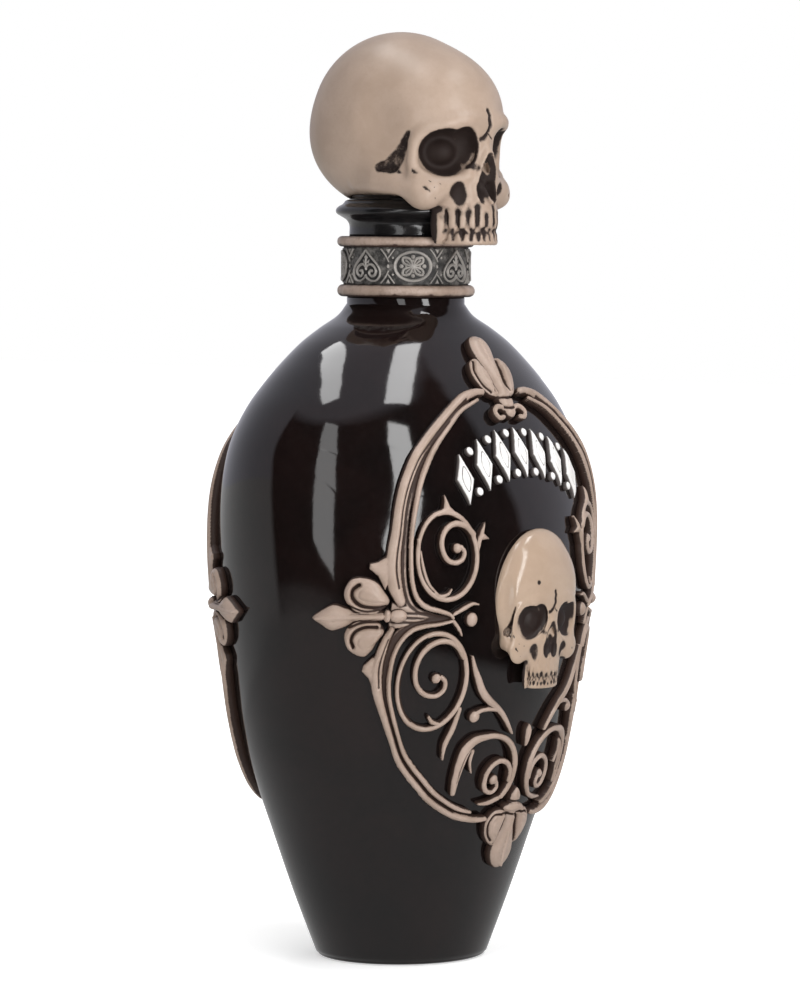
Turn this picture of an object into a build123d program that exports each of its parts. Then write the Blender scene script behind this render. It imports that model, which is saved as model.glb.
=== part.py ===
from build123d import *
import math
import os

os.makedirs("parts", exist_ok=True)

# Oval bottle body: a hollow flask on a small flat foot
body_height = 137.0
body_half_width = 45.5
body_half_depth = 35.2
wall = 3.3
floor_thickness = 5.0
foot_rounding = 0.8
neck_root_radius = 12.35
overrun = 1.0

# Height, half width and half depth of the body, below the neck root
body_shares = [
    (0.0, 0.410, 0.489),
    (0.102, 0.548, 0.614),
    (0.204, 0.667, 0.736),
    (0.307, 0.788, 0.855),
    (0.365, 0.836, 0.909),
    (0.423, 0.869, 0.953),
    (0.489, 0.902, 0.986),
    (0.555, 0.936, 1.0),
    (0.628, 0.972, 0.991),
    (0.701, 0.995, 0.951),
    (0.759, 0.998, 0.883),
    (0.803, 0.973, 0.812),
    (0.847, 0.903, 0.728),
    (0.883, 0.808, 0.645),
    (0.912, 0.714, 0.571),
    (0.942, 0.596, 0.490),
    (0.964, 0.472, 0.426),
    (0.982, 0.343, 0.378),
]

# Pad let into the foot
pad_thickness = 1.2
pad_rim = 3.0
bond_clearance = 0.05

# Neck: a tube in the shoulder's socket, with the rings, the band and a bonded lip slid on to it
tube_radius = 11.3
bore_radius = 9.0
seat_length = 1.5
ring_radius = 14.5
lower_ring_height = 2.5
band_radius = 13.1
band_height = 7.9
upper_ring_height = 2.2
groove_radius = 11.9
groove_height = 2.4
lip_radius = 14.8
lip_height = 5.2
lip_top_radius = 12.4
lip_widest_share = 0.56

# Raised ornaments round the band, in turn a heart and a roundel
pair_count = 4
roundel_half_width = 3.8
roundel_half_height = 3.25
roundel_rim = 0.55
roundel_hub_radius = 0.9
band_relief = 0.6
heart_half_width = 3.6
heart_height = 6.5
chevron_half_width = 1.1
chevron_height = 2.6
chevron_edge_gap = 0.5
bed_depth = 0.3

# Stopper: a plug with two sealing rings, a collar, and a skull pinned on top
plug_radius = 8.6
plug_length = 17.0
plug_chamfer = 1.0
lift_gap = 0.2
run_clearance = 0.05
seal_radius = 1.0
seal_groove_width = 2.6
seal_depth_shares = (0.28, 0.68)
collar_radius = 11.6
collar_height = 0.8
dowel_radius = 2.0
dowel_in_plug = 9.0
dowel_in_skull = 12.0
turning_gap = 0.5

# Skull on the stopper: it faces -Y and its teeth hang past the lip
skull_half_width = 17.6
skull_half_length = 21.2
skull_height = 44.5
jaw_drop = 9.4

# Skull badge: the same skull, flattened and bedded in the panel
badge_half_width = 13.4
badge_half_length = 7.2
badge_height = 32.4
badge_bottom = 59.0
badge_sink = 1.0
badge_tilt = 6.0

# Cuts that mark the teeth, on both skulls
tooth_groove_radius = 0.45
tooth_count = 9
bite_gap = 0.5
bite_depth = 0.6

# Framed panel on the front and on the back: its middle, and the lengths its plan is a share of
panel_middle = 75.0
panel_reach = 50.0
panel_rise = 50.0
base_relief = 1.2
scroll_relief = 2.0
rim_relief = 2.3
fleur_relief = 2.8
label_relief = 1.4

# Heights of the stacked neck and stopper, worked up from the body
core_bottom = body_height + seat_length
band_bottom = core_bottom + lower_ring_height
upper_ring_bottom = band_bottom + band_height
lip_bottom = upper_ring_bottom + upper_ring_height
lip_top = lip_bottom + groove_height + lip_height
collar_bottom = lip_top + lift_gap
collar_top = collar_bottom + collar_height
seat_radius = lip_radius + turning_gap
skull_bottom = lip_top - jaw_drop


def body_rows(offset, top_radius):
    """Height, half width and half depth of each section, moved out by offset."""
    rows = [
        (h * body_height, a * body_half_width + offset, b * body_half_depth + offset)
        for h, a, b in body_shares
    ]
    return rows + [(body_height, top_radius, top_radius)]


def slope(rows, i, k):
    """Rate of change of column k at row i, from its neighbours."""
    low, high = rows[max(i - 1, 0)], rows[min(i + 1, len(rows) - 1)]
    return (high[k] - low[k]) / (high[0] - low[0])


def size_at(height, rows):
    """Half width and half depth at any height, as a smooth curve through the rows."""
    i = 0
    while i < len(rows) - 2 and rows[i + 1][0] < height:
        i += 1
    low, high = rows[i], rows[i + 1]
    step = high[0] - low[0]
    t = (height - low[0]) / step
    sizes = []
    for k in (1, 2):
        start, end = slope(rows, i, k) * step, slope(rows, i + 1, k) * step
        sizes.append(
            (2 * t**3 - 3 * t**2 + 1) * low[k]
            + (t**3 - 2 * t**2 + t) * start
            + (3 * t**2 - 2 * t**3) * high[k]
            + (t**3 - t**2) * end
        )
    return sizes


outer_rows = body_rows(0, neck_root_radius)


def oval(height, half_width, half_depth):
    return Pos(0, 0, height) * Ellipse(half_width, half_depth)


def body_form(offset, bottom=0, top_radius=None):
    """The body's shape moved in or out by offset, closed at the bottom and at the neck root."""
    rows = body_rows(offset, top_radius or neck_root_radius + offset)
    above = [row for row in rows if row[0] > bottom]
    sections = [oval(bottom, *size_at(bottom, rows))] + [oval(*row) for row in above]
    return loft(sections)


def tube(bottom, height, outer, inner):
    ring = Circle(outer) - Circle(inner)
    return Pos(0, 0, bottom) * extrude(ring, height)


def rod(bottom, height, radius):
    return Pos(0, 0, bottom) * extrude(Circle(radius), height)


def bottle_shell():
    outside = body_form(0)
    foot = outside.edges().sort_by(Axis.Z)[0]
    outside = fillet(foot, foot_rounding)
    seat = rod(body_height, seat_length, neck_root_radius)
    socket = rod(body_height, seat_length + overrun, tube_radius + bond_clearance)
    cavity = body_form(-wall, floor_thickness, bore_radius)
    _, half_width, half_depth = outer_rows[0]
    recess = extrude(Ellipse(half_width - pad_rim, half_depth - pad_rim), pad_thickness)
    return outside + seat - socket - cavity - recess


def neck_tube():
    return tube(body_height, lip_top - body_height, tube_radius, bore_radius)


def base_pad():
    _, half_width, half_depth = outer_rows[0]
    inset = pad_rim + bond_clearance
    outline = Ellipse(half_width - inset, half_depth - inset)
    return extrude(outline, pad_thickness - bond_clearance)


def round_ring(bottom, height):
    """A ring on the neck tube with a half-round rim."""
    inner = tube_radius + bond_clearance
    shoulder = ring_radius - height / 2
    top = bottom + height
    edges = [
        Line((inner, bottom), (shoulder, bottom)),
        ThreePointArc((shoulder, bottom), (ring_radius, bottom + height / 2), (shoulder, top)),
        Line((shoulder, top), (inner, top)),
        Line((inner, top), (inner, bottom)),
    ]
    return revolve(Plane.XZ * make_face(edges), Axis.Z)


def neck_band():
    return tube(band_bottom, band_height, band_radius, tube_radius + bond_clearance)


def lip_collar():
    """A waisted groove under a swelling lip, bonded on the top of the neck tube."""
    inner = tube_radius + bond_clearance
    waist = lip_bottom + groove_height
    widest = waist + lip_widest_share * lip_height
    edges = [
        Line((inner, lip_bottom), (groove_radius, lip_bottom)),
        Line((groove_radius, lip_bottom), (groove_radius, waist)),
        Spline(
            (groove_radius, waist),
            (lip_radius, widest),
            (lip_top_radius, lip_top),
            tangents=((0, 1), (-1, 1)),
        ),
        Line((lip_top_radius, lip_top), (inner, lip_top)),
        Line((inner, lip_top), (inner, lip_bottom)),
    ]
    return revolve(Plane.XZ * make_face(edges), Axis.Z)


def band_layer():
    return tube(band_bottom, band_height, band_radius + band_relief, band_radius - bed_depth)


def round_the_band(outline, first, count):
    """The outline stamped through the band's outer layer at even turns."""
    layer = band_layer()
    middle = band_bottom + band_height / 2
    stamp = extrude(Plane.XZ * outline, ring_radius)
    stamped = Pos(0, 0, middle) * stamp & layer
    return [Rot(0, 0, first + 360 * i / count) * stamped for i in range(count)]


def roundels():
    w, h = roundel_half_width, roundel_half_height
    rim = Ellipse(w, h) - Ellipse(w - roundel_rim, h - roundel_rim)
    petal = Pos(0, h / 2) * Ellipse(roundel_hub_radius / 2, h / 2)
    flower = Circle(roundel_hub_radius)
    for i in range(pair_count):
        flower += Rot(0, 0, 45 + 360 * i / pair_count) * petal
    return round_the_band(rim + flower, 45, pair_count)


def heart_outline():
    """A pointed leaf, broad below, with its two lower corners rolled in."""
    w, h = heart_half_width, heart_height / 2
    right = Spline((0, h), (0.55 * w, 0.35 * h), (w, -0.35 * h), (0.7 * w, -0.95 * h), (0, -0.6 * h))
    left = mirror(right, about=Plane.YZ)
    return make_face([right, left])


def hearts():
    core = scale(heart_outline(), by=0.55)
    return round_the_band(heart_outline() - core, 0, pair_count)


def chevrons():
    """Small triangles that point inwards from both edges of the band, between the motifs."""
    w, h = chevron_half_width, chevron_height
    edge = band_height / 2 - chevron_edge_gap
    upper = make_face(Polyline((-w, edge), (w, edge), (0, edge - h), close=True))
    lower = mirror(upper, about=Plane.XZ)
    return round_the_band(upper + lower, 180 / (2 * pair_count), 2 * pair_count)


def seal_heights():
    return [collar_bottom - share * plug_length for share in seal_depth_shares]


def stopper_plug():
    plug = rod(collar_bottom - plug_length, plug_length, plug_radius)
    plug = chamfer(plug.edges().sort_by(Axis.Z)[0], plug_chamfer)
    floor_radius = bore_radius - 2 * (seal_radius + run_clearance)
    for height in seal_heights():
        bottom = height - seal_groove_width / 2
        plug -= tube(bottom, seal_groove_width, bore_radius, floor_radius)
    return plug - dowel_hole()


def seal_ring(height):
    return Pos(0, 0, height) * Torus(bore_radius - run_clearance - seal_radius, seal_radius)


def dowel_hole():
    bottom = collar_bottom - dowel_in_plug - bond_clearance
    length = dowel_in_plug + collar_height + dowel_in_skull + 2 * bond_clearance
    return rod(bottom, length, dowel_radius + bond_clearance)


def finial_dowel():
    length = dowel_in_plug + collar_height + dowel_in_skull
    return rod(collar_bottom - dowel_in_plug, length, dowel_radius)


def stopper_collar():
    return rod(collar_bottom, collar_height, collar_radius) - dowel_hole()


def egg(centre, radii):
    return Pos(*centre) * scale(Sphere(1), by=radii)


def skull_form(w, l, h):
    """A skull from its half width, half length and height, standing on its teeth and facing -Y."""
    skull = egg((0, 0.04 * l, 0.555 * h), (w, l, 0.445 * h))
    skull += egg((0, -0.59 * l, 0.454 * h), (0.824 * w, 0.439 * l, 0.142 * h))
    skull += egg((0, -0.623 * l, 0.319 * h), (0.74 * w, 0.4 * l, 0.205 * h))
    skull += egg((0, -0.92 * l, 0.37 * h), (0.13 * w, 0.12 * l, 0.08 * h))
    jaw_width, jaw_length = 0.432 * w, 0.406 * l
    skull += Pos(0, -0.66 * l, 0) * extrude(Ellipse(jaw_width, jaw_length), 0.28 * h)
    skull += egg((0, -0.21 * l, 0.35 * h), (0.92 * w, 0.6 * l, 0.19 * h))
    for side in (-1, 1):
        skull += egg((side * 0.61 * w, -0.65 * l, 0.236 * h), (0.25 * w, 0.23 * l, 0.085 * h))
    for side in (-1, 1):
        skull -= egg((side * 0.477 * w, -0.95 * l, 0.398 * h), (0.318 * w, 0.33 * l, 0.108 * h))
        skull -= egg((side * 1.07 * w, -0.495 * l, 0.4 * h), (0.182 * w, 0.236 * l, 0.117 * h))
    skull -= egg((0, -1.05 * l, 0.245 * h), (0.13 * w, 0.2 * l, 0.079 * h))
    for i in range(tooth_count):
        turn = math.radians(-150 + 120 * i / (tooth_count - 1))
        x, y = jaw_width * math.cos(turn), jaw_length * math.sin(turn) - 0.66 * l
        skull -= Pos(x, y, 0) * extrude(Circle(tooth_groove_radius), 0.17 * h)
    bite = Ellipse(jaw_width + overrun, jaw_length + overrun)
    bite -= Ellipse(jaw_width - bite_depth, jaw_length - bite_depth)
    return skull - Pos(0, -0.66 * l, 0.045 * h) * extrude(bite, bite_gap)


def skull_finial():
    skull = Pos(0, 0, skull_bottom) * skull_form(skull_half_width, skull_half_length, skull_height)
    seat = rod(skull_bottom - overrun, collar_bottom - skull_bottom + overrun, seat_radius)
    recess = rod(collar_bottom, collar_height + bond_clearance, collar_radius + bond_clearance)
    return skull - seat - recess - dowel_hole()


# Plans of the panel's left half: places and widths are shares of its reach, heights of its rise
rim_outer_shares = [
    (-0.126, 0.87), (-0.17, 0.87), (-0.24, 0.852), (-0.324, 0.808),
    (-0.432, 0.74), (-0.522, 0.676), (-0.596, 0.612), (-0.662, 0.522), (-0.702, 0.432),
    (-0.724, 0.33), (-0.74, 0.25), (-0.744, 0.18), (-0.73, 0.11), (-0.702, 0.052),
]
rim_outer_width_shares = [
    0.026, 0.03, 0.036, 0.04, 0.046, 0.048, 0.05, 0.052, 0.054, 0.058, 0.064, 0.072, 0.064, 0.04,
]
rim_inner_shares = [
    (-0.17, 0.84), (-0.28, 0.802), (-0.366, 0.748), (-0.458, 0.68), (-0.528, 0.612),
    (-0.592, 0.522), (-0.634, 0.42), (-0.658, 0.32), (-0.664, 0.22), (-0.656, 0.13),
    (-0.632, 0.066), (-0.59, 0.03), (-0.53, 0.012), (-0.486, -0.002), (-0.468, -0.018),
]
rim_inner_width_shares = [
    0.012, 0.018, 0.022, 0.024, 0.026, 0.026, 0.024, 0.022, 0.022, 0.022, 0.022, 0.024, 0.022, 0.018,
    0.014,
]
rim_floor_shares = [
    (-0.21, 0.846), (-0.372, 0.76), (-0.486, 0.682), (-0.562, 0.612), (-0.626, 0.522),
    (-0.668, 0.426), (-0.69, 0.324), (-0.698, 0.22), (-0.694, 0.13), (-0.672, 0.056),
    (-0.63, 0.012), (-0.55, -0.012),
]
rim_floor_width_shares = [
    0.012, 0.03, 0.034, 0.036, 0.036, 0.034, 0.034, 0.036, 0.036, 0.034, 0.03, 0.024,
]
foot_outer_shares = [
    (-0.734, -0.062), (-0.754, -0.1), (-0.77, -0.156), (-0.78, -0.22), (-0.77, -0.296),
    (-0.738, -0.378), (-0.67, -0.51), (-0.612, -0.61), (-0.508, -0.71), (-0.434, -0.772),
    (-0.328, -0.832), (-0.25, -0.856), (-0.19, -0.864), (-0.152, -0.862),
]
foot_outer_width_shares = [
    0.024, 0.036, 0.044, 0.052, 0.048, 0.038, 0.028, 0.026, 0.026, 0.026, 0.026, 0.026, 0.024, 0.02,
]
foot_inner_shares = [
    (-0.472, -0.03), (-0.53, -0.042), (-0.59, -0.048), (-0.646, -0.066), (-0.688, -0.108),
    (-0.712, -0.164), (-0.72, -0.228), (-0.718, -0.29), (-0.7, -0.368), (-0.648, -0.488),
    (-0.59, -0.588), (-0.486, -0.688), (-0.412, -0.75), (-0.312, -0.806), (-0.234, -0.83),
]
foot_inner_width_shares = [
    0.014, 0.018, 0.022, 0.022, 0.022, 0.022, 0.022, 0.022, 0.022, 0.022, 0.024, 0.024, 0.024, 0.022,
    0.014,
]
foot_floor_shares = [
    (-0.57, -0.028), (-0.648, -0.048), (-0.706, -0.084), (-0.738, -0.156), (-0.746, -0.226),
    (-0.74, -0.3), (-0.718, -0.374), (-0.66, -0.498), (-0.6, -0.598), (-0.498, -0.7),
    (-0.424, -0.76), (-0.32, -0.82), (-0.24, -0.844),
]
foot_floor_width_shares = [
    0.02, 0.024, 0.03, 0.036, 0.036, 0.036, 0.03, 0.024, 0.024, 0.024, 0.024, 0.024, 0.02,
]
groove_share = 0.014
upper_barb_shares = [
    (-0.75, 0.25), (-0.784, 0.216), (-0.852, 0.188), (-0.796, 0.164), (-0.764, 0.116), (-0.73, 0.18),
]
lower_barb_shares = [
    (-0.772, -0.172), (-0.808, -0.192), (-0.848, -0.224), (-0.804, -0.26), (-0.776, -0.31),
    (-0.756, -0.24),
]
upper_sprig_shares = [(-0.464, -0.004), (-0.42, 0.018), (-0.38, 0.036), (-0.352, 0.032)]
upper_sprig_width_shares = [0.016, 0.022, 0.018, 0.008]
lower_sprig_shares = [(-0.464, -0.032), (-0.438, -0.062), (-0.422, -0.09)]
lower_sprig_width_shares = [0.016, 0.018, 0.006]

side_centre_petal_shares = [
    (-1.1, -0.014), (-1.05, 0.022), (-1.0, 0.042), (-0.94, 0.028), (-0.88, 0.01), (-0.74, 0.012),
    (-0.74, -0.022), (-0.88, -0.024), (-0.94, -0.052), (-1.0, -0.068), (-1.052, -0.046),
]
side_upper_petal_shares = [
    (-0.752, 0.048), (-0.778, 0.098), (-0.816, 0.136), (-0.87, 0.152), (-0.928, 0.146),
    (-0.958, 0.102), (-0.95, 0.056), (-0.9, 0.012), (-0.82, -0.002),
]
side_lower_petal_shares = [
    (-0.764, -0.066), (-0.79, -0.11), (-0.816, -0.154), (-0.85, -0.174), (-0.912, -0.148),
    (-0.94, -0.1), (-0.932, -0.056), (-0.88, -0.022), (-0.81, -0.016),
]
side_boss_share, side_boss_radius_shares = (-0.712, -0.004), (0.04, 0.026)

top_centre_petal_shares = [
    (0, 1.096), (-0.04, 1.084), (-0.06, 1.044), (-0.052, 0.996), (-0.032, 0.93), (-0.028, 0.85),
    (0, 0.83),
]
top_side_petal_shares = [
    (-0.078, 1.006), (-0.114, 0.986), (-0.128, 0.944), (-0.112, 0.896), (-0.076, 0.858),
    (-0.03, 0.85), (-0.03, 0.9), (-0.04, 0.96), (-0.054, 0.998),
]
top_stem_shares = [(0, 0.9), (-0.04, 0.85), (-0.034, 0.8), (-0.026, 0.775), (0, 0.765)]
top_curl_shares = [(-0.02, 0.8), (-0.064, 0.812), (-0.096, 0.792), (-0.084, 0.768), (-0.056, 0.77)]
top_curl_width_shares = [0.02, 0.022, 0.022, 0.022, 0.02]

bottom_centre_petal_shares = [
    (0, -0.81), (-0.028, -0.83), (-0.034, -0.9), (-0.058, -0.96), (-0.066, -1.02), (-0.04, -1.07),
    (0, -1.09),
]
bottom_side_petal_shares = [
    (-0.03, -0.84), (-0.096, -0.832), (-0.136, -0.876), (-0.126, -0.932), (-0.096, -0.972),
    (-0.06, -0.988), (-0.046, -0.954), (-0.034, -0.9),
]
bottom_binding_share, bottom_binding_radius_shares = (0, -0.824), (0.06, 0.022)
bottom_knob_shares = [(0, -0.74), (-0.028, -0.768), (-0.026, -0.8), (0, -0.83)]

upper_ring_share, upper_ring_radius_shares = (-0.495, 0.232), (0.137, 0.175)
scroll_band_share = 0.026
upper_coil_shares = [
    (-0.372, 0.316), (-0.404, 0.348), (-0.454, 0.36), (-0.498, 0.34), (-0.522, 0.298),
    (-0.52, 0.252), (-0.498, 0.216), (-0.464, 0.204), (-0.432, 0.216), (-0.42, 0.244),
    (-0.434, 0.266),
]
upper_coil_width_shares = [
    0.03, 0.028, 0.028, 0.026, 0.026, 0.026, 0.026, 0.024, 0.024, 0.022, 0.022,
]
upper_eye_share = (-0.45, 0.262)
upper_leaf_shares = [(-0.572, 0.092), (-0.532, 0.072), (-0.496, 0.078), (-0.48, 0.098)]
upper_leaf_width_shares = [0.016, 0.02, 0.016, 0.008]
upper_top_leaf_shares = [
    (-0.55, 0.398), (-0.504, 0.424), (-0.486, 0.478), (-0.466, 0.428), (-0.426, 0.392), (-0.49, 0.4),
]
upper_side_leaf_shares = [
    (-0.362, 0.28), (-0.332, 0.332), (-0.3, 0.364), (-0.314, 0.318), (-0.286, 0.294),
    (-0.328, 0.288), (-0.35, 0.23),
]

middle_ring_share, middle_ring_radius_shares = (-0.53, -0.276), (0.15, 0.196)
middle_coil_shares = [
    (-0.408, -0.184), (-0.436, -0.14), (-0.472, -0.116), (-0.516, -0.112), (-0.564, -0.132),
    (-0.6, -0.176), (-0.612, -0.234), (-0.598, -0.29), (-0.558, -0.328), (-0.508, -0.334),
    (-0.478, -0.31), (-0.476, -0.278), (-0.494, -0.258),
]
middle_coil_width_shares = [
    0.014, 0.022, 0.026, 0.028, 0.028, 0.026, 0.026, 0.024, 0.024, 0.024, 0.024, 0.022, 0.02,
]
middle_eye_share = (-0.516, -0.264)
middle_leaf_shares = [(-0.524, -0.422), (-0.504, -0.444), (-0.468, -0.452)]
middle_leaf_width_shares = [0.014, 0.022, 0.014]
middle_tail_shares = [(-0.392, -0.392), (-0.408, -0.472), (-0.43, -0.54), (-0.428, -0.6)]
middle_tail_width_shares = [0.02, 0.03, 0.028, 0.006]

lower_ring_shares = [
    (-0.34, -0.744), (-0.344, -0.686), (-0.338, -0.62), (-0.324, -0.566), (-0.292, -0.53),
    (-0.24, -0.516), (-0.19, -0.514), (-0.132, -0.53), (-0.084, -0.568), (-0.054, -0.622),
    (-0.048, -0.68), (-0.06, -0.732), (-0.088, -0.774),
]
lower_ring_width_shares = [
    0.026, 0.04, 0.05, 0.054, 0.042, 0.03, 0.026, 0.028, 0.03, 0.032, 0.032, 0.03, 0.024,
]
lower_coil_shares = [
    (-0.066, -0.708), (-0.07, -0.664), (-0.094, -0.634), (-0.134, -0.622), (-0.174, -0.638),
    (-0.196, -0.672), (-0.196, -0.714), (-0.178, -0.744), (-0.148, -0.752), (-0.128, -0.732),
    (-0.134, -0.71),
]
lower_coil_width_shares = [
    0.02, 0.024, 0.026, 0.026, 0.026, 0.026, 0.026, 0.024, 0.022, 0.02, 0.02,
]
lower_eye_share = (-0.15, -0.7)
lower_leaf_shares = [(-0.292, -0.572), (-0.294, -0.62), (-0.278, -0.66)]
lower_leaf_width_shares = [0.02, 0.016, 0.006]
lower_foot_shares = [(-0.198, -0.8), (-0.15, -0.798), (-0.1, -0.782)]
lower_foot_width_shares = [0.01, 0.026, 0.024]
eye_radius_share = 0.021

tendril_shares = [
    (-0.364, -0.18), (-0.346, -0.228), (-0.322, -0.274), (-0.294, -0.324), (-0.254, -0.364),
    (-0.198, -0.404), (-0.156, -0.444), (-0.118, -0.492), (-0.106, -0.508),
]
tendril_width_shares = [0.012, 0.026, 0.034, 0.038, 0.036, 0.03, 0.026, 0.018, 0.008]
tendril_curl_shares = [(-0.196, -0.408), (-0.24, -0.4), (-0.28, -0.402), (-0.306, -0.412)]
tendril_curl_width_shares = [0.016, 0.022, 0.022, 0.022]
tendril_eye_share, tendril_eye_radius_share = (-0.314, -0.428), 0.026

bead_share, bead_radius_share = (-0.378, -0.028), 0.028
bud_shares = [(0, -0.476), (-0.018, -0.5), (-0.016, -0.54), (0, -0.574)]

# Row of lozenges along an arch, with beads between their points
lozenge_steps = 3
lozenge_step_share = 0.12
arch_top_share, arch_drop_share = 0.634, 0.1
lozenge_radius_shares = (0.046, 0.104)
lozenge_bead_share, lozenge_bead_radius_share = 0.08, 0.018

# Turns from the front, in degrees, at which each plan is pressed into the body
front_turn, rim_turn, side_turn = 0, -25, -57
upper_scroll_turn, middle_scroll_turn, lower_scroll_turn, tendril_turn = -27, -33, -14, -15
ring_points = 16


def pressed_point(point, turn):
    """A point of the plan, laid round the body, as seen on the plane that faces the turn."""
    x_share, z_share = point
    height = panel_middle + z_share * panel_rise
    half_width, half_depth = size_at(height, outer_rows)
    around = x_share * panel_reach / half_width
    x, y = half_width * math.sin(around), -half_depth * math.cos(around)
    angle = math.radians(turn)
    return (x * math.cos(angle) + y * math.sin(angle), height)


def blob(points, turn, smooth=True):
    """A closed outline through the plan's points."""
    places = [pressed_point(point, turn) for point in points]
    if smooth:
        return make_face(Spline(*places, periodic=True))
    return make_face(Polyline(*places, close=True))


def mirrored(points):
    """The outline's other half added; its first and last points lie on the middle line."""
    return points + [(-x, z) for x, z in reversed(points[1:-1])]


def disc(centre, radii, turn):
    """An oval of the plan, from a centre and two radii."""
    turns = [2 * math.pi * i / ring_points for i in range(ring_points)]
    edge = [(centre[0] + radii[0] * math.cos(t), centre[1] + radii[1] * math.sin(t)) for t in turns]
    return blob(edge, turn)


def ring(centre, radii, width, turn):
    outer = disc(centre, [radius + width / 2 for radius in radii], turn)
    return outer - disc(centre, [radius - width / 2 for radius in radii], turn)


def stroke(points, widths, turn):
    """A tapered band with round ends along the plan's points."""
    left, right, ends = [], [], []
    last = len(points) - 1
    for i, (x, z) in enumerate(points):
        (x0, z0), (x1, z1) = points[max(i - 1, 0)], points[min(i + 1, last)]
        length = math.hypot(x1 - x0, z1 - z0)
        dx, dz = (x1 - x0) / length * widths[i] / 2, (z1 - z0) / length * widths[i] / 2
        left.append(pressed_point((x - dz, z + dx), turn))
        right.append(pressed_point((x + dz, z - dx), turn))
        if i == 0:
            ends.append(pressed_point((x - dx, z - dz), turn))
        if i == last:
            ends.append(pressed_point((x + dx, z + dz), turn))
    right.reverse()
    edges = [
        Spline(*left),
        ThreePointArc(left[-1], ends[1], right[0]),
        Spline(*right),
        ThreePointArc(right[-1], ends[0], left[0]),
    ]
    return make_face(edges)


layers = {}


def body_layer(height):
    """The skin of the body between its bedding depth and a height above its surface."""
    if height not in layers:
        layers[height] = body_form(height) - body_form(-bed_depth)
    return layers[height]


def block(outline, turn):
    """The outline pushed outwards from the middle of the body, past its surface."""
    angle = math.radians(turn)
    across, outward = (math.cos(angle), math.sin(angle), 0), (math.sin(angle), -math.cos(angle), 0)
    facing = Plane(origin=(0, 0, 0), x_dir=across, z_dir=outward)
    return extrude(facing * outline, body_half_width + fleur_relief + overrun, dir=outward)


def relief(outline, turn, height):
    return block(outline, turn) & body_layer(height)


def joined(faces):
    whole = faces[0]
    for face in faces[1:]:
        whole += face
    return whole


def side_fleur_outline():
    petals = [side_centre_petal_shares, side_upper_petal_shares, side_lower_petal_shares]
    faces = [blob(petal, side_turn) for petal in petals]
    return joined(faces + [disc(side_boss_share, side_boss_radius_shares, side_turn)])


def both_sides(face):
    return face + mirror(face, about=Plane.YZ)


def top_fleur_outline():
    side = blob(top_side_petal_shares, front_turn)
    side += stroke(top_curl_shares, top_curl_width_shares, front_turn)
    centre = blob(mirrored(top_centre_petal_shares), front_turn)
    return centre + blob(mirrored(top_stem_shares), front_turn) + both_sides(side)


def bottom_fleur_outline():
    centre = blob(mirrored(bottom_centre_petal_shares), front_turn)
    centre += blob(mirrored(bottom_knob_shares), front_turn)
    centre += disc(bottom_binding_share, bottom_binding_radius_shares, front_turn)
    return centre + both_sides(blob(bottom_side_petal_shares, front_turn))


def rim():
    """The left half of the frame: two ridges with a sunk floor between, above and below the fleur."""
    band = joined([
        stroke(rim_outer_shares, rim_outer_width_shares, rim_turn),
        stroke(rim_inner_shares, rim_inner_width_shares, rim_turn),
        stroke(foot_outer_shares, foot_outer_width_shares, rim_turn),
        stroke(foot_inner_shares, foot_inner_width_shares, rim_turn),
        stroke(rim_floor_shares, rim_floor_width_shares, rim_turn),
        stroke(foot_floor_shares, foot_floor_width_shares, rim_turn),
        stroke(upper_sprig_shares, upper_sprig_width_shares, rim_turn),
        stroke(lower_sprig_shares, lower_sprig_width_shares, rim_turn),
        blob(upper_barb_shares, rim_turn, smooth=False),
        blob(lower_barb_shares, rim_turn, smooth=False),
    ])
    frame = relief(band, rim_turn, rim_relief)
    for places in (rim_floor_shares, foot_floor_shares):
        groove = stroke(places, [groove_share] * len(places), rim_turn)
        frame -= block(groove, rim_turn) - body_form(base_relief)
    return frame


def upper_scroll():
    turn = upper_scroll_turn
    outline = joined([
        ring(upper_ring_share, upper_ring_radius_shares, scroll_band_share, turn),
        stroke(upper_coil_shares, upper_coil_width_shares, turn),
        disc(upper_eye_share, (eye_radius_share, eye_radius_share), turn),
        stroke(upper_leaf_shares, upper_leaf_width_shares, turn),
        blob(upper_top_leaf_shares, turn, smooth=False),
        blob(upper_side_leaf_shares, turn, smooth=False),
    ])
    return relief(outline, turn, scroll_relief)


def middle_scroll():
    turn = middle_scroll_turn
    outline = joined([
        ring(middle_ring_share, middle_ring_radius_shares, scroll_band_share, turn),
        stroke(middle_coil_shares, middle_coil_width_shares, turn),
        disc(middle_eye_share, (eye_radius_share, eye_radius_share), turn),
        stroke(middle_leaf_shares, middle_leaf_width_shares, turn),
        stroke(middle_tail_shares, middle_tail_width_shares, turn),
    ])
    return relief(outline, turn, scroll_relief)


def lower_scroll():
    turn = lower_scroll_turn
    outline = joined([
        stroke(lower_ring_shares, lower_ring_width_shares, turn),
        stroke(lower_coil_shares, lower_coil_width_shares, turn),
        disc(lower_eye_share, (eye_radius_share, eye_radius_share), turn),
        stroke(lower_leaf_shares, lower_leaf_width_shares, turn),
        stroke(lower_foot_shares, lower_foot_width_shares, turn),
    ])
    return relief(outline, turn, scroll_relief)


def tendril():
    turn = tendril_turn
    radii = (tendril_eye_radius_share, tendril_eye_radius_share)
    outline = joined([
        stroke(tendril_shares, tendril_width_shares, turn),
        stroke(tendril_curl_shares, tendril_curl_width_shares, turn),
        disc(tendril_eye_share, radii, turn),
    ])
    return relief(outline, turn, scroll_relief)


def side_fleur():
    return relief(side_fleur_outline(), side_turn, fleur_relief)


def top_fleur():
    return relief(top_fleur_outline(), front_turn, fleur_relief)


def bottom_fleur():
    return relief(bottom_fleur_outline(), front_turn, fleur_relief)


def accent_beads():
    """A bead inside each cusp of the frame, and a bud between the lower scrolls."""
    bead = disc(bead_share, (bead_radius_share, bead_radius_share), front_turn)
    outline = both_sides(bead) + blob(mirrored(bud_shares), front_turn)
    return relief(outline, front_turn, scroll_relief)


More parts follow.
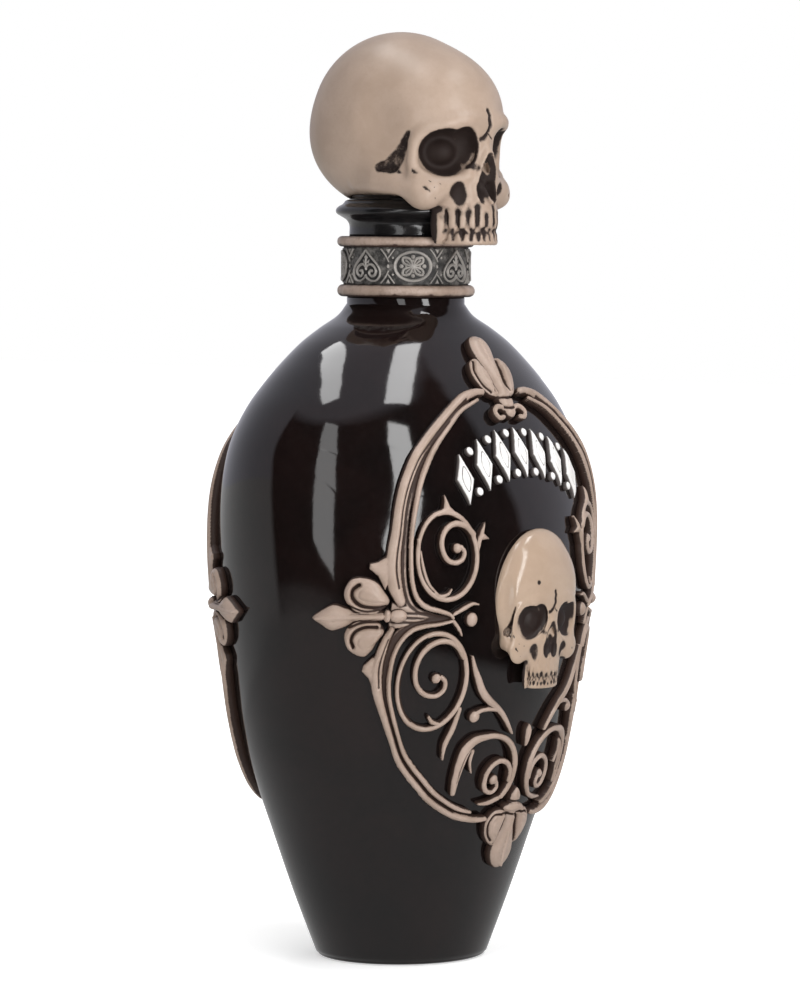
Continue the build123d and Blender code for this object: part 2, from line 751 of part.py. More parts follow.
def label_row():
    """Seven lozenges along an arch, with a bead above and below each gap."""
    faces = []
    half_width, half_height = lozenge_radius_shares
    radii = (lozenge_bead_radius_share, lozenge_bead_radius_share)
    for i in range(-2 * lozenge_steps, 2 * lozenge_steps + 1):
        x = i * lozenge_step_share / 2
        z = arch_top_share - arch_drop_share * (i / (2 * lozenge_steps)) ** 2
        if i % 2 == 0:
            corners = [(x, z + half_height), (x - half_width, z), (x, z - half_height), (x + half_width, z)]
            faces.append(blob(corners, front_turn, smooth=False))
        else:
            faces += [disc((x, z + s * lozenge_bead_share), radii, front_turn) for s in (-1, 1)]
    return relief(joined(faces), front_turn, label_relief)


def skull_badge():
    """The flattened skull, leaning back on the body and cut where it meets it."""
    skull = skull_form(badge_half_width, badge_half_length, badge_height)
    leaning = Pos(0, 0, badge_height / 2) * Rot(badge_tilt, 0, 0) * Pos(0, 0, -badge_height / 2)
    back = badge_sink - body_half_depth
    return Pos(0, back, badge_bottom) * leaning * skull - body_form(-bed_depth)


def write(name, shape):
    export_step(Compound(children=list(shape.solids())), f"parts/{name}.step")


def write_panel():
    """Writes the panel's pieces on the front, and again on the back."""
    halves = {
        "rim": rim(),
        "side_fleur": side_fleur(),
        "upper_scroll": upper_scroll(),
        "middle_scroll": middle_scroll(),
        "lower_scroll": lower_scroll(),
        "tendril": tendril(),
    }
    wholes = {
        "top_fleur": top_fleur(),
        "bottom_fleur": bottom_fleur(),
        "accent_beads": accent_beads(),
        "label_row": label_row(),
        "skull_badge": skull_badge(),
    }
    for face, turned in (("front", Rot(0, 0, 0)), ("back", Rot(0, 0, 180))):
        for name, shape in halves.items():
            write(f"{face}_left_{name}", turned * shape)
            write(f"{face}_right_{name}", turned * mirror(shape, about=Plane.YZ))
        for name, shape in wholes.items():
            write(f"{face}_{name}", turned * shape)


def write_neck():
    write("neck_tube", neck_tube())
    write("lower_neck_ring", round_ring(core_bottom, lower_ring_height))
    write("neck_band", neck_band())
    write("upper_neck_ring", round_ring(upper_ring_bottom, upper_ring_height))
    write("lip_collar", lip_collar())
    write("band_roundels", Compound(children=roundels()))
    write("band_hearts", Compound(children=hearts()))
    write("band_chevrons", Compound(children=chevrons()))


def write_stopper():
    write("stopper_plug", stopper_plug())
    write("stopper_collar", stopper_collar())
    write("finial_dowel", finial_dowel())
    write("skull_finial", skull_finial())
    for name, height in zip(("upper_seal", "lower_seal"), seal_heights()):
        write(name, seal_ring(height))


write("bottle_shell", bottle_shell())
write("base_pad", base_pad())
write_neck()
write_stopper()
write_panel()
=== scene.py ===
import math

import bpy
import numpy as np
from mathutils import Matrix, Vector

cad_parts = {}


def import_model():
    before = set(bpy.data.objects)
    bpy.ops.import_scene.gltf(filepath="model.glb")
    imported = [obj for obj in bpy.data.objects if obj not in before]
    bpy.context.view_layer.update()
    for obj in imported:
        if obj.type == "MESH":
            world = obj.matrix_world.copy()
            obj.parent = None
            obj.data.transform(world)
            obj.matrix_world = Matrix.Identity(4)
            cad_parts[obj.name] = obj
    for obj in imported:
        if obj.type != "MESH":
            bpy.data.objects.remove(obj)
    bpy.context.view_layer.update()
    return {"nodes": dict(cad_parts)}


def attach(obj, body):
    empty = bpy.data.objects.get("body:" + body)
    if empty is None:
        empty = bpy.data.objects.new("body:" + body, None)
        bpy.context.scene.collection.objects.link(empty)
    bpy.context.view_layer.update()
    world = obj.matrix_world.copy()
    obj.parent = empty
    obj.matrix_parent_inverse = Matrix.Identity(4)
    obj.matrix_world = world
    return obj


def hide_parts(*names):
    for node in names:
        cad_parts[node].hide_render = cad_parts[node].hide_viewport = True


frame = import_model()
MM = 0.001

# Sizes in millimetres, the same as the solid model's
BODY_HEIGHT, BODY_HALF_WIDTH, BODY_HALF_DEPTH = 137.0, 45.5, 35.2
WALL, FLOOR = 3.3, 5.0
NECK_ROOT, CORE, BORE = 12.35, 11.3, 9.0
CORE_BOTTOM, BAND_BOTTOM, BAND_HEIGHT, BAND_RADIUS = 138.5, 141.0, 7.9, 13.1
UPPER_RING_BOTTOM, LIP_BOTTOM, LIP_TOP, LIP_RADIUS, WAIST = 148.9, 151.1, 158.7, 14.8, 11.9
RING_RADIUS, LOWER_RING_HEIGHT, UPPER_RING_HEIGHT = 14.5, 2.5, 2.2
COLLAR_TOP, COLLAR_RADIUS, SEAT_RADIUS = 159.7, 11.6, 15.3
PANEL_MIDDLE, REACH = 75.0, 50.0
SKULL_LOW, SKULL_TOP = 149.3, 193.8

# Relief is sunk this deep into what carries it, and fitted pieces have this play
BED, PLAY = 0.25, 0.05
# Divisions round a turned piece that shows, and round a plainer one
ROUND, PLAIN_ROUND = 288, 256
# Farther than any form reaches
FAR = 9.0

# The body's section at shares of its height: shares of its half width and half depth
BODY_SHARES = [
    (0.0, 0.410, 0.489), (0.102, 0.548, 0.614), (0.204, 0.667, 0.736), (0.307, 0.788, 0.855),
    (0.365, 0.836, 0.909), (0.423, 0.869, 0.953), (0.489, 0.902, 0.986), (0.555, 0.936, 1.0),
    (0.628, 0.972, 0.991), (0.701, 0.995, 0.951), (0.759, 0.998, 0.883), (0.803, 0.973, 0.812),
    (0.847, 0.903, 0.728), (0.883, 0.808, 0.645), (0.912, 0.714, 0.571), (0.942, 0.596, 0.490),
    (0.964, 0.472, 0.426), (0.982, 0.343, 0.378),
]
body_rows = np.array(
    [(h * BODY_HEIGHT, a * BODY_HALF_WIDTH, b * BODY_HALF_DEPTH) for h, a, b in BODY_SHARES]
    + [(BODY_HEIGHT, NECK_ROOT, NECK_ROOT)]
)
last_row = len(body_rows) - 1
body_rises = [body_rows[min(i + 1, last_row)] - body_rows[max(i - 1, 0)] for i in range(last_row + 1)]
body_slopes = np.array([rise / rise[0] for rise in body_rises])


def body_size(z):
    """Half width and half depth of the body at heights z."""
    i = np.clip(np.searchsorted(body_rows[:, 0], z) - 1, 0, last_row - 1)
    low, high = body_rows[i], body_rows[i + 1]
    step = high[..., 0] - low[..., 0]
    t = (z - low[..., 0]) / step
    sizes = []
    for k in (1, 2):
        start, end = body_slopes[i][..., k] * step, body_slopes[i + 1][..., k] * step
        sizes.append(
            (2 * t**3 - 3 * t**2 + 1) * low[..., k] + (t**3 - 2 * t**2 + t) * start
            + (3 * t**2 - 2 * t**3) * high[..., k] + (t**3 - t**2) * end
        )
    return sizes


def on_body(x, z, h):
    """Places of plan points (x round from the front, z up) at height h above the body."""
    probe = 0.05
    a, b = body_size(z)
    above, below = body_size(z + probe), body_size(z - probe)
    rise_a, rise_b = [(more - less) / (2 * probe) for more, less in zip(above, below)]
    t = x / a
    sin, cos = np.sin(t), np.cos(t)
    place = np.stack([a * sin, -b * cos, z], -1)
    along = np.stack([a * cos, b * sin, 0 * z], -1)
    up = np.stack([rise_a * sin, -rise_b * cos, 1 + 0 * z], -1)
    out = np.cross(along, up)
    out /= np.linalg.norm(out, axis=-1, keepdims=True)
    return place + out * np.asarray(h)[..., None]


def on_band(x, z, h):
    """Places of points round the neck band, at height h above it."""
    t = x / BAND_RADIUS
    r = BAND_RADIUS + h
    return np.stack([r * np.sin(t), -r * np.cos(t), z], -1)


# Materials


def nodes_of(name):
    material = bpy.data.materials.new(name)
    material.use_nodes = True
    tree = material.node_tree
    return material, tree, tree.nodes["Principled BSDF"]


def link(tree, a, b):
    tree.links.new(a, b)


def noise(tree, scale, detail, rough, distort=0.0):
    """A noise of features of about 1/scale metres, fixed to the piece."""
    place = tree.nodes.new("ShaderNodeTexCoord")
    node = tree.nodes.new("ShaderNodeTexNoise")
    node.inputs["Scale"].default_value = scale
    node.inputs["Detail"].default_value = detail
    node.inputs["Roughness"].default_value = rough
    node.inputs["Distortion"].default_value = distort
    link(tree, place.outputs["Object"], node.inputs["Vector"])
    return node.outputs["Fac"]


def ramp(tree, value, stops):
    """A colour for each value, from stops of (position, colour or grey)."""
    node = tree.nodes.new("ShaderNodeValToRGB")
    node.color_ramp.interpolation = "EASE"
    elements = node.color_ramp.elements
    while len(elements) < len(stops):
        elements.new(0.5)
    for element, (position, colour) in zip(elements, stops):
        element.position = position
        if isinstance(colour, (int, float)):
            colour = (colour, colour, colour)
        element.color = (*colour, 1)
    link(tree, value, node.inputs["Fac"])
    return node.outputs["Color"]


def mix(tree, factor, a, b):
    """The colour between a and b; each of the three is a value or a number or colour."""
    node = tree.nodes.new("ShaderNodeMix")
    node.data_type = "RGBA"
    for socket, value in ((node.inputs[0], factor), (node.inputs[6], a), (node.inputs[7], b)):
        if isinstance(value, bpy.types.NodeSocket):
            link(tree, value, socket)
        elif socket.type == "RGBA":
            socket.default_value = (*value, 1)
        else:
            socket.default_value = value
    return node.outputs[2]


def maths(tree, operation, a, b):
    """The result of an operation on two values or numbers."""
    node = tree.nodes.new("ShaderNodeMath")
    node.operation = operation
    for socket, value in zip(node.inputs, (a, b)):
        if isinstance(value, bpy.types.NodeSocket):
            link(tree, value, socket)
        else:
            socket.default_value = value
    return node.outputs[0]


def bump(tree, shader, height, distance, strength):
    node = tree.nodes.new("ShaderNodeBump")
    node.inputs["Distance"].default_value = distance
    node.inputs["Strength"].default_value = strength
    link(tree, height, node.inputs["Height"])
    link(tree, node.outputs["Normal"], shader.inputs["Normal"])


def spread(tree, value, low, high, start=0.0, end=1.0):
    """The value's start to end moved to low to high."""
    node = tree.nodes.new("ShaderNodeMapRange")
    for name, limit in (("From Min", start), ("From Max", end), ("To Min", low), ("To Max", high)):
        node.inputs[name].default_value = limit
    link(tree, value, node.inputs["Value"])
    return node.outputs["Result"]


def between(tree, factor, a, b):
    """A value that goes from the number a to the value b."""
    node = tree.nodes.new("ShaderNodeMix")
    node.inputs[2].default_value = a
    link(tree, factor, node.inputs[0])
    link(tree, b, node.inputs[3])
    return node.outputs[0]


def vector_maths(tree, operation, a, b=None):
    """The outputs of an operation on a vector, and on a fixed one where that is given."""
    node = tree.nodes.new("ShaderNodeVectorMath")
    node.operation = operation
    link(tree, a, node.inputs[0])
    if b:
        node.inputs[1].default_value = b
    return node.outputs


def wash_value(tree):
    node = tree.nodes.new("ShaderNodeAttribute")
    node.attribute_name = "wash"
    return node.outputs["Fac"]


def glaze():
    """Very dark brown lacquer, redder where it is thin, with a faint orange peel."""
    material, tree, shader = nodes_of("dark_glaze")
    blotches = noise(tree, 45, 5, 0.6, 0.4)
    tone = ramp(tree, blotches, [(0.3, (0.005, 0.0032, 0.003)), (0.7, (0.0112, 0.0056, 0.005))])
    fine = noise(tree, 900, 3, 0.6)
    specks = ramp(tree, fine, [(0.35, 0.003), (0.75, 0.009)])
    link(tree, mix(tree, 0.25, tone, specks), shader.inputs["Base Color"])
    smears = noise(tree, 60, 4, 0.6, 1.0)
    link(tree, spread(tree, smears, 0.035, 0.09), shader.inputs["Roughness"])
    peel = mix(tree, 0.25, noise(tree, 220, 2, 0.5), noise(tree, 1500, 3, 0.6))
    bump(tree, shader, peel, 0.00006, 0.25)
    return material


def washed(name, pale, deep, dark, rough=(0.38, 0.6), grain=0.0001):
    """Paint with a dark wash in its hollows: wash is 0 on the raised parts and 1 in the hollows."""
    material, tree, shader = nodes_of(name)
    cloud = noise(tree, 120, 4, 0.6, 0.3)
    speck = noise(tree, 1400, 3, 0.65)
    body = ramp(tree, cloud, [(0.3, deep), (0.68, pale)])
    body = mix(tree, ramp(tree, speck, [(0.42, 0.0), (0.72, 0.32)]), body, deep)
    wash = wash_value(tree)
    for patches, strength in ((noise(tree, 700, 4, 0.7), 0.9), (noise(tree, 110, 3, 0.6, 0.5), 0.55)):
        uneven = maths(tree, "MULTIPLY", maths(tree, "SUBTRACT", patches, 0.5), strength)
        wash = maths(tree, "ADD", wash, uneven)
    soaked = ramp(tree, wash, [(0.16, 0.0), (0.48, 0.55), (0.85, 1.0)])
    share = 0.45
    brown = tuple(share * d + (1 - share) * p for d, p in zip(dark, deep))
    darken = ramp(tree, wash, [(0.35, brown), (0.75, dark)])
    link(tree, mix(tree, soaked, body, darken), shader.inputs["Base Color"])
    link(tree, spread(tree, soaked, *rough), shader.inputs["Roughness"])
    shader.inputs["Specular IOR Level"].default_value = 0.45
    bump(tree, shader, mix(tree, 0.5, speck, noise(tree, 420, 4, 0.6)), grain, 0.5)
    return material


def plain(name, dark, pale, rough, scale=300, metal=0.0, grain=0.00008):
    """One colour with soft clouds, an uneven gloss and a fine grain."""
    material, tree, shader = nodes_of(name)
    cloud = noise(tree, scale, 5, 0.6)
    link(tree, ramp(tree, cloud, [(0.3, dark), (0.7, pale)]), shader.inputs["Base Color"])
    link(tree, spread(tree, noise(tree, 3 * scale, 3, 0.6), *rough), shader.inputs["Roughness"])
    shader.inputs["Metallic"].default_value = metal
    bump(tree, shader, noise(tree, 5 * scale, 3, 0.6), grain, 0.4)
    return material


BONE_PALE, BONE_DEEP, UMBER = (0.43, 0.325, 0.268), (0.34, 0.25, 0.196), (0.017, 0.0072, 0.0046)
bone = washed("bone_paint", BONE_PALE, BONE_DEEP, (0.04, 0.0195, 0.013))
skull_bone = washed("skull_paint", (0.43, 0.322, 0.252), (0.375, 0.276, 0.21), UMBER, (0.4, 0.75), 0.00005)
badge_bone = washed("badge_paint", (0.43, 0.32, 0.24), (0.39, 0.285, 0.21), UMBER, (0.13, 0.6), 0.00003)
white = washed("white_paint", (0.86, 0.86, 0.85), (0.74, 0.72, 0.7), (0.1, 0.085, 0.08), (0.35, 0.6), 0.00006)
PEWTER_PALE, PEWTER_DEEP, TARNISH = (0.38, 0.352, 0.325), (0.21, 0.195, 0.18), (0.018, 0.0165, 0.0155)
pewter = washed("pewter_paint", PEWTER_PALE, PEWTER_DEEP, TARNISH, (0.34, 0.6))
black = plain("black_gloss_paint", (0.006, 0.006, 0.0065), (0.016, 0.014, 0.014), (0.12, 0.24))
felt = plain("felt_cloth", (0.02, 0.02, 0.021), (0.05, 0.05, 0.052), (0.85, 1.0), 1800, 0.0, 0.0003)
rubber = plain("seal_rubber", (0.02, 0.02, 0.02), (0.045, 0.045, 0.045), (0.5, 0.7), 900)
resin = plain("plug_resin", (0.012, 0.01, 0.01), (0.03, 0.026, 0.025), (0.3, 0.45), 260)
steel = plain("dowel_steel", (0.45, 0.45, 0.46), (0.62, 0.62, 0.63), (0.22, 0.38), 2400, 1.0, 0.00003)
glaze_paint = glaze()


# Pieces from points and faces


def piece(name, points, faces, body, material, replaced, wash=0.0):
    """A mesh in millimetres that rides a body and stands for a node; wash is one value or one a point."""
    data = bpy.data.meshes.new(name)
    data.from_pydata((np.asarray(points, float) * MM).tolist(), [], np.asarray(faces).tolist())
    data.polygons.foreach_set("use_smooth", np.ones(len(data.polygons), bool))
    values = data.attributes.new("wash", "FLOAT", "POINT")
    values.data.foreach_set("value", np.full(len(points), wash, np.float32))
    data.materials.append(material)
    data.update()
    made = bpy.data.objects.new(name, data)
    bpy.context.scene.collection.objects.link(made)
    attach(made, body)
    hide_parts(replaced)


def lathe(rows, around=ROUND):
    """A closed ring of surface through rows of (half width, half depth, height), in order."""
    rows = np.asarray(rows, float)
    turns = np.linspace(0, 2 * np.pi, around, endpoint=False)
    points = np.stack([
        rows[:, None, 0] * np.sin(turns), -rows[:, None, 1] * np.cos(turns),
        np.broadcast_to(rows[:, None, 2], (len(rows), around)),
    ], -1)
    i, j = np.meshgrid(np.arange(len(rows)), np.arange(around), indexing="ij")
    n, m = (i + 1) % len(rows), (j + 1) % around
    faces = np.stack([i * around + j, i * around + m, n * around + m, n * around + j], -1)
    return points.reshape(-1, 3), faces.reshape(-1, 4)


def spun(name, section, body, material, node, around=ROUND, wash=0.0):
    """A round piece turned from its closed section of (r, z)."""
    points, faces = lathe([(r, r, z) for r, z in section], around)
    piece(name, points, faces, body, material, node, wash)


def arc(centre, radius, start, end, count):
    """Points of (r, z) round a centre, angles in degrees from outwards to up."""
    turns = np.radians(np.linspace(start, end, count))
    return [(centre[0] + radius * math.cos(t), centre[1] + radius * math.sin(t)) for t in turns]


def dense(rows, step):
    """Straight stretches of (r, z) divided into steps."""
    filled = []
    for (r0, z0), (r1, z1) in zip(rows, rows[1:]):
        count = max(1, int(math.hypot(r1 - r0, z1 - z0) / step))
        filled += [(r0 + (r1 - r0) * k / count, z0 + (z1 - z0) * k / count) for k in range(count)]
    return filled + [rows[-1]]


def bottle():
    """The shell's skin as one closed ring: outside, the neck's seat, inside, floor, foot and pad recess."""
    foot, lip, pad, depth, shoulder, step = 0.8, 0.3, 3.0, 1.2, 120.0, 1.5
    heights = np.concatenate([np.linspace(foot, shoulder, 200), np.linspace(shoulder + 0.4, BODY_HEIGHT, 50)])
    a, b = body_size(heights)
    foot_a, foot_b = (size[0] for size in body_size(np.array([0.0])))
    rows = [(foot_a + r, foot_b + r, z) for r, z in arc((-foot, foot), foot, -90, -6, 7)]
    rows += list(zip(a, b, heights))
    seat = arc((NECK_ROOT - lip, CORE_BOTTOM - lip), lip, 0, 90, 4)
    seat += dense([(CORE + PLAY, CORE_BOTTOM), (CORE + PLAY, BODY_HEIGHT), (BORE, BODY_HEIGHT)], step)
    rows += [(r, r, z) for r, z in seat]
    inner = heights[::-6]
    inner = inner[(inner > FLOOR) & (inner < BODY_HEIGHT - 1)]
    a, b = body_size(inner)
    rows += [(max(u - WALL, BORE), max(v - WALL, BORE), z) for u, v, z in zip(a, b, inner)]
    floor_a, floor_b = (size[0] - WALL for size in body_size(np.array([FLOOR])))
    rows += [(share * floor_a, share * floor_b, FLOOR) for share in (0.98, 0.6, 0.02)]
    rows += [(share * (foot_a - pad), share * (foot_b - pad), depth) for share in (0.02, 0.6, 1.0)]
    rows += [(foot_a - pad, foot_b - pad, 0.0)]
    points, faces = lathe(rows)
    piece("bottle_skin", points, faces, "bottle", glaze_paint, "bottle_shell")


def neck_ring(name, node, bottom, height, seed):
    """A half-round cream ring with soft casting waves, darker towards where it meets its neighbours, and
    painted shade on its underside.
    """
    inner, half, step = CORE + PLAY, height / 2, 0.5
    shoulder = RING_RADIUS - half
    rows = dense([(inner, bottom), (shoulder, bottom)], step)
    rows += arc((shoulder, bottom + half), half, -88, 88, 18)
    rows += dense([(shoulder, bottom + height), (inner, bottom + height)], step)
    rows += dense([(inner, bottom + height), (inner, bottom)], 2 * step)[1:-1]
    points, faces = lathe([(r, r, z) for r, z in rows])
    turn = np.arctan2(points[:, 0], -points[:, 1])
    radius = np.hypot(points[:, 0], points[:, 1])
    wave = 0.05 * np.sin(7 * turn + seed) + 0.035 * np.sin(17 * turn + 2 * seed)
    outer = np.clip((radius - shoulder) / half, 0, 1)
    points[:, :2] *= (1 - (0.09 + wave) * outer / RING_RADIUS)[:, None]
    chips = sum(np.exp(-((turn - c) / 0.035) ** 2) for c in (-2.2, -1.06, -0.52, 0.75, 1.9, 2.8))
    low = 0.4 * height
    # Painted shade: the wash grows towards the ring's bottom edge, so its underside is painted darker
    underside_shade = np.clip((bottom + low - points[:, 2]) / low, 0, 1)
    wash = 1.0 - 0.76 * outer**0.8 + 0.3 * chips * (underside_shade > 0.2) + 0.7 * underside_shade**2
    piece(name, points, faces, "bottle", bone, node, wash)


def neck_lining():
    """The neck tube, rounded in and out at its mouth."""
    mouth, step = 0.4, 1.5
    section = dense([(CORE, BODY_HEIGHT), (CORE, LIP_TOP - mouth)], step)
    section += arc((CORE - mouth, LIP_TOP - mouth), mouth, 0, 90, 5)
    section += arc((BORE + mouth, LIP_TOP - mouth), mouth, 90, 180, 5)
    section += dense([(BORE, LIP_TOP - 0.6), (BORE, BODY_HEIGHT), (CORE, BODY_HEIGHT)], step)[:-1]
    spun("neck_lining", section, "bottle", resin, "neck_tube", PLAIN_ROUND)


def band_ground():
    inner, top = CORE + PLAY, BAND_BOTTOM + BAND_HEIGHT
    start, outer = (inner, BAND_BOTTOM), [(BAND_RADIUS, BAND_BOTTOM), (BAND_RADIUS, top)]
    section = dense([start, *outer, (inner, top), start], 0.4)[:-1]
    spun("band_ground", section, "bottle", pewter, "neck_band", wash=0.72)


def lip():
    """The flared lip: places out from the waist and in from the rim, each with its height."""
    inner = CORE + PLAY
    waist_line = [(0.0, 0.9), (-0.02, 1.9), (0.15, 2.7), (0.75, 3.5)]
    rim_line = [(1.0, 4.2), (0.25, 4.7), (0.02, 5.25), (0.2, 5.8)]
    rim_line += [(0.75, 6.3), (1.35, 6.6), (1.7, 6.95), (2.0, 7.35)]
    profile = [(WAIST + out, LIP_BOTTOM + up) for out, up in waist_line]
    profile += [(LIP_RADIUS - back, LIP_BOTTOM + up) for back, up in rim_line]
    profile += [(LIP_RADIUS - 2.5, LIP_TOP - 0.02)]
    section = dense([(inner, LIP_BOTTOM), (WAIST, LIP_BOTTOM)], 0.3) + [(WAIST, LIP_BOTTOM + 0.5)]
    section += [tuple(p) for p in smooth_line(profile, closed=False, steps=4)]
    section += dense([(LIP_RADIUS - 2.9, LIP_TOP), (inner, LIP_TOP), (inner, LIP_BOTTOM)], 0.8)[:-1]
    spun("lip", section, "bottle", black, "lip_collar")


def collar():
    """The stopper's collar, with a thin flange that lies over the lip."""
    over, bore, round_edge, step = LIP_TOP + PLAY, 2.06, 0.15, 0.6
    flange = [(BORE - 0.3, LIP_TOP + 0.2), (BORE + 0.4, over), (COLLAR_RADIUS + 0.35, over),
              (COLLAR_RADIUS + 0.45, LIP_TOP + 0.12)]
    upper = [(COLLAR_RADIUS + 0.35, LIP_TOP + 0.22), (COLLAR_RADIUS, LIP_TOP + 0.25),
             (COLLAR_RADIUS, COLLAR_TOP - round_edge), (COLLAR_RADIUS - round_edge, COLLAR_TOP),
             (bore, COLLAR_TOP), (bore, LIP_TOP + 0.2)]
    section = dense(flange, step) + dense(upper, step)
    spun("collar", section, "stopper", black, "stopper_collar", PLAIN_ROUND)


def neck():
    neck_lining()
    neck_ring("lower_ring", "lower_neck_ring", CORE_BOTTOM, LOWER_RING_HEIGHT, 0.4)
    neck_ring("upper_ring", "upper_neck_ring", UPPER_RING_BOTTOM, UPPER_RING_HEIGHT, 1.7)
    band_ground()
    lip()
    collar()


# Height fields over a plan, laid on a curved surface


def smooth_line(points, closed, steps=6):
    """Points along a smooth line through the given ones."""
    p = np.asarray(points, float)
    n = len(p)
    made = []
    for i in range(n if closed else n - 1):
        a, b, c, d = [p[(i + k) % n] if closed else p[min(max(i + k, 0), n - 1)] for k in (-1, 0, 1, 2)]
        for t in np.arange(steps) / steps:
            bend = (2 * a - 5 * b + 4 * c - d) * t**2 + (3 * b - a - 3 * c + d) * t**3
            made.append(0.5 * (2 * b + (c - a) * t + bend))
    if not closed:
        made.append(p[-1])
    return np.array(made)


def to_plan(points):
    """Shares of the panel's reach from its middle, as millimetres."""
    p = np.asarray(points, float) * REACH
    p[:, 1] += PANEL_MIDDLE
    return p


class Plan:
    """A height field: each grid point's distance to the outline, negative inside, and its height."""

    def __init__(self, low, high, step):
        self.step = step
        self.x = np.arange(low[0], high[0] + step, step)
        self.z = np.arange(low[1], high[1] + step, step)
        shape = (len(self.x), len(self.z))
        self.edge = np.full(shape, FAR)
        self.height = np.zeros(shape)
        self.dirt = np.zeros(shape)
        self.grid_x, self.grid_z = np.meshgrid(self.x, self.z, indexing="ij")

    def window(self, low, high):
        """The part of the grid between two corners."""
        i0, i1 = np.searchsorted(self.x, (low[0], high[0]))
        j0, j1 = np.searchsorted(self.z, (low[1], high[1]))
        return slice(max(i0 - 1, 0), i1 + 1), slice(max(j0 - 1, 0), j1 + 1)

    def line(self, points, widths):
        """Distance beyond a tapered line's sides, and its half width, near the line."""
        gap = np.full(self.edge.shape, FAR)
        half = np.full(self.edge.shape, 1.0)
        reach = 3.0 + max(widths)
        for (x0, z0), (x1, z1), w0, w1 in zip(points, points[1:], widths, widths[1:]):
            low = min(x0, x1) - reach, min(z0, z1) - reach
            win = self.window(low, (max(x0, x1) + reach, max(z0, z1) + reach))
            px, pz = self.grid_x[win], self.grid_z[win]
            dx, dz = x1 - x0, z1 - z0
            t = np.clip(((px - x0) * dx + (pz - z0) * dz) / max(dx * dx + dz * dz, 1e-9), 0, 1)
            away = np.hypot(px - x0 - t * dx, pz - z0 - t * dz)
            w = (w0 + (w1 - w0) * t) / 2
            nearer = away - w < gap[win]
            gap[win] = np.where(nearer, away - w, gap[win])
            half[win] = np.where(nearer, w, half[win])
        return gap, half

    def area(self, corners):
        """Distance to a closed outline, negative inside."""
        gap, _ = self.line(np.vstack([corners, corners[:1]]), [0.0] * (len(corners) + 1))
        win = self.window(corners.min(0), corners.max(0))
        px, pz = self.grid_x[win], self.grid_z[win]
        inside = np.zeros(px.shape, bool)
        for (x0, z0), (x1, z1) in zip(corners, np.roll(corners, -1, 0)):
            crosses = (z0 > pz) != (z1 > pz)
            with np.errstate(divide="ignore", invalid="ignore"):
                at = x0 + (pz - z0) * (x1 - x0) / (z1 - z0)
            inside ^= crosses & (px < at)
        sign = np.ones(self.edge.shape)
        sign[win] = np.where(inside, -1, 1)
        return gap * sign

    def lay(self, gap, crest, shoulder, roll, power=2.0):
        """Adds a form: its height runs from shoulder at its edge to crest at roll inwards."""
        blend = 0.12
        inward = np.clip(-gap / roll, 0, 1)
        form = shoulder + (crest - shoulder) * (1 - (1 - inward) ** power) ** (1 / power)
        there = gap < 1.5 * self.step
        over = np.maximum(blend - np.abs(form - self.height), 0) / blend
        joined = np.maximum(form, self.height) + over * over * blend / 4
        self.height = np.where(there, np.where(self.height > 0, joined, form), self.height)
        self.edge = np.minimum(self.edge, gap)

    def ridge(self, points, widths, crest, shoulder):
        """A rounded bar along a smooth line."""
        line = smooth_line(points, False)
        at = np.linspace(0, len(widths) - 1, len(line))
        gap, half = self.line(line, list(np.interp(at, np.arange(len(widths)), widths)))
        self.lay(gap, crest, shoulder, half)

    def hoop(self, points, width, crest, shoulder):
        """A rounded bar of one width along a smooth closed line."""
        line = smooth_line(points, True)
        line = np.vstack([line, line[:1]])
        gap, half = self.line(line, [width] * len(line))
        self.lay(gap, crest, shoulder, half)

    def dome(self, corners, crest, shoulder, roll, smooth=True, power=2.0):
        """A raised form inside a closed outline."""
        corners = smooth_line(corners, True) if smooth else np.asarray(corners, float)
        self.lay(self.area(corners), crest, shoulder, roll, power)

    def score(self, points, width, depth, dirt, closed=False, floor=0.5):
        """A soft groove along a line."""
        line = smooth_line(points, closed)
        if closed:
            line = np.vstack([line, line[:1]])
        gap, _ = self.line(line, [0.0] * len(line))
        cut = np.exp(-((gap / width) ** 2))
        self.height = np.maximum(self.height - depth * cut, np.minimum(self.height, floor))
        self.dirt = np.maximum(self.dirt, dirt * np.exp(-((gap / (1.3 * width)) ** 2)))


def blur(field, radius, step):
    """Three passes of a box blur along both axes."""
    n = max(1, int(round(radius / step / 1.7)))
    for _ in range(3):
        for axis in range(field.ndim):
            pads = [(0, 0)] * field.ndim
            pads[axis] = (n + 1, n)
            total = np.cumsum(np.pad(field, pads, mode="edge"), axis=axis)
            size = field.shape[axis]
            high = np.take(total, np.arange(2 * n + 1, 2 * n + 1 + size), axis=axis)
            low = np.take(total, np.arange(size), axis=axis)
            field = (high - low) / (2 * n + 1)
    return field


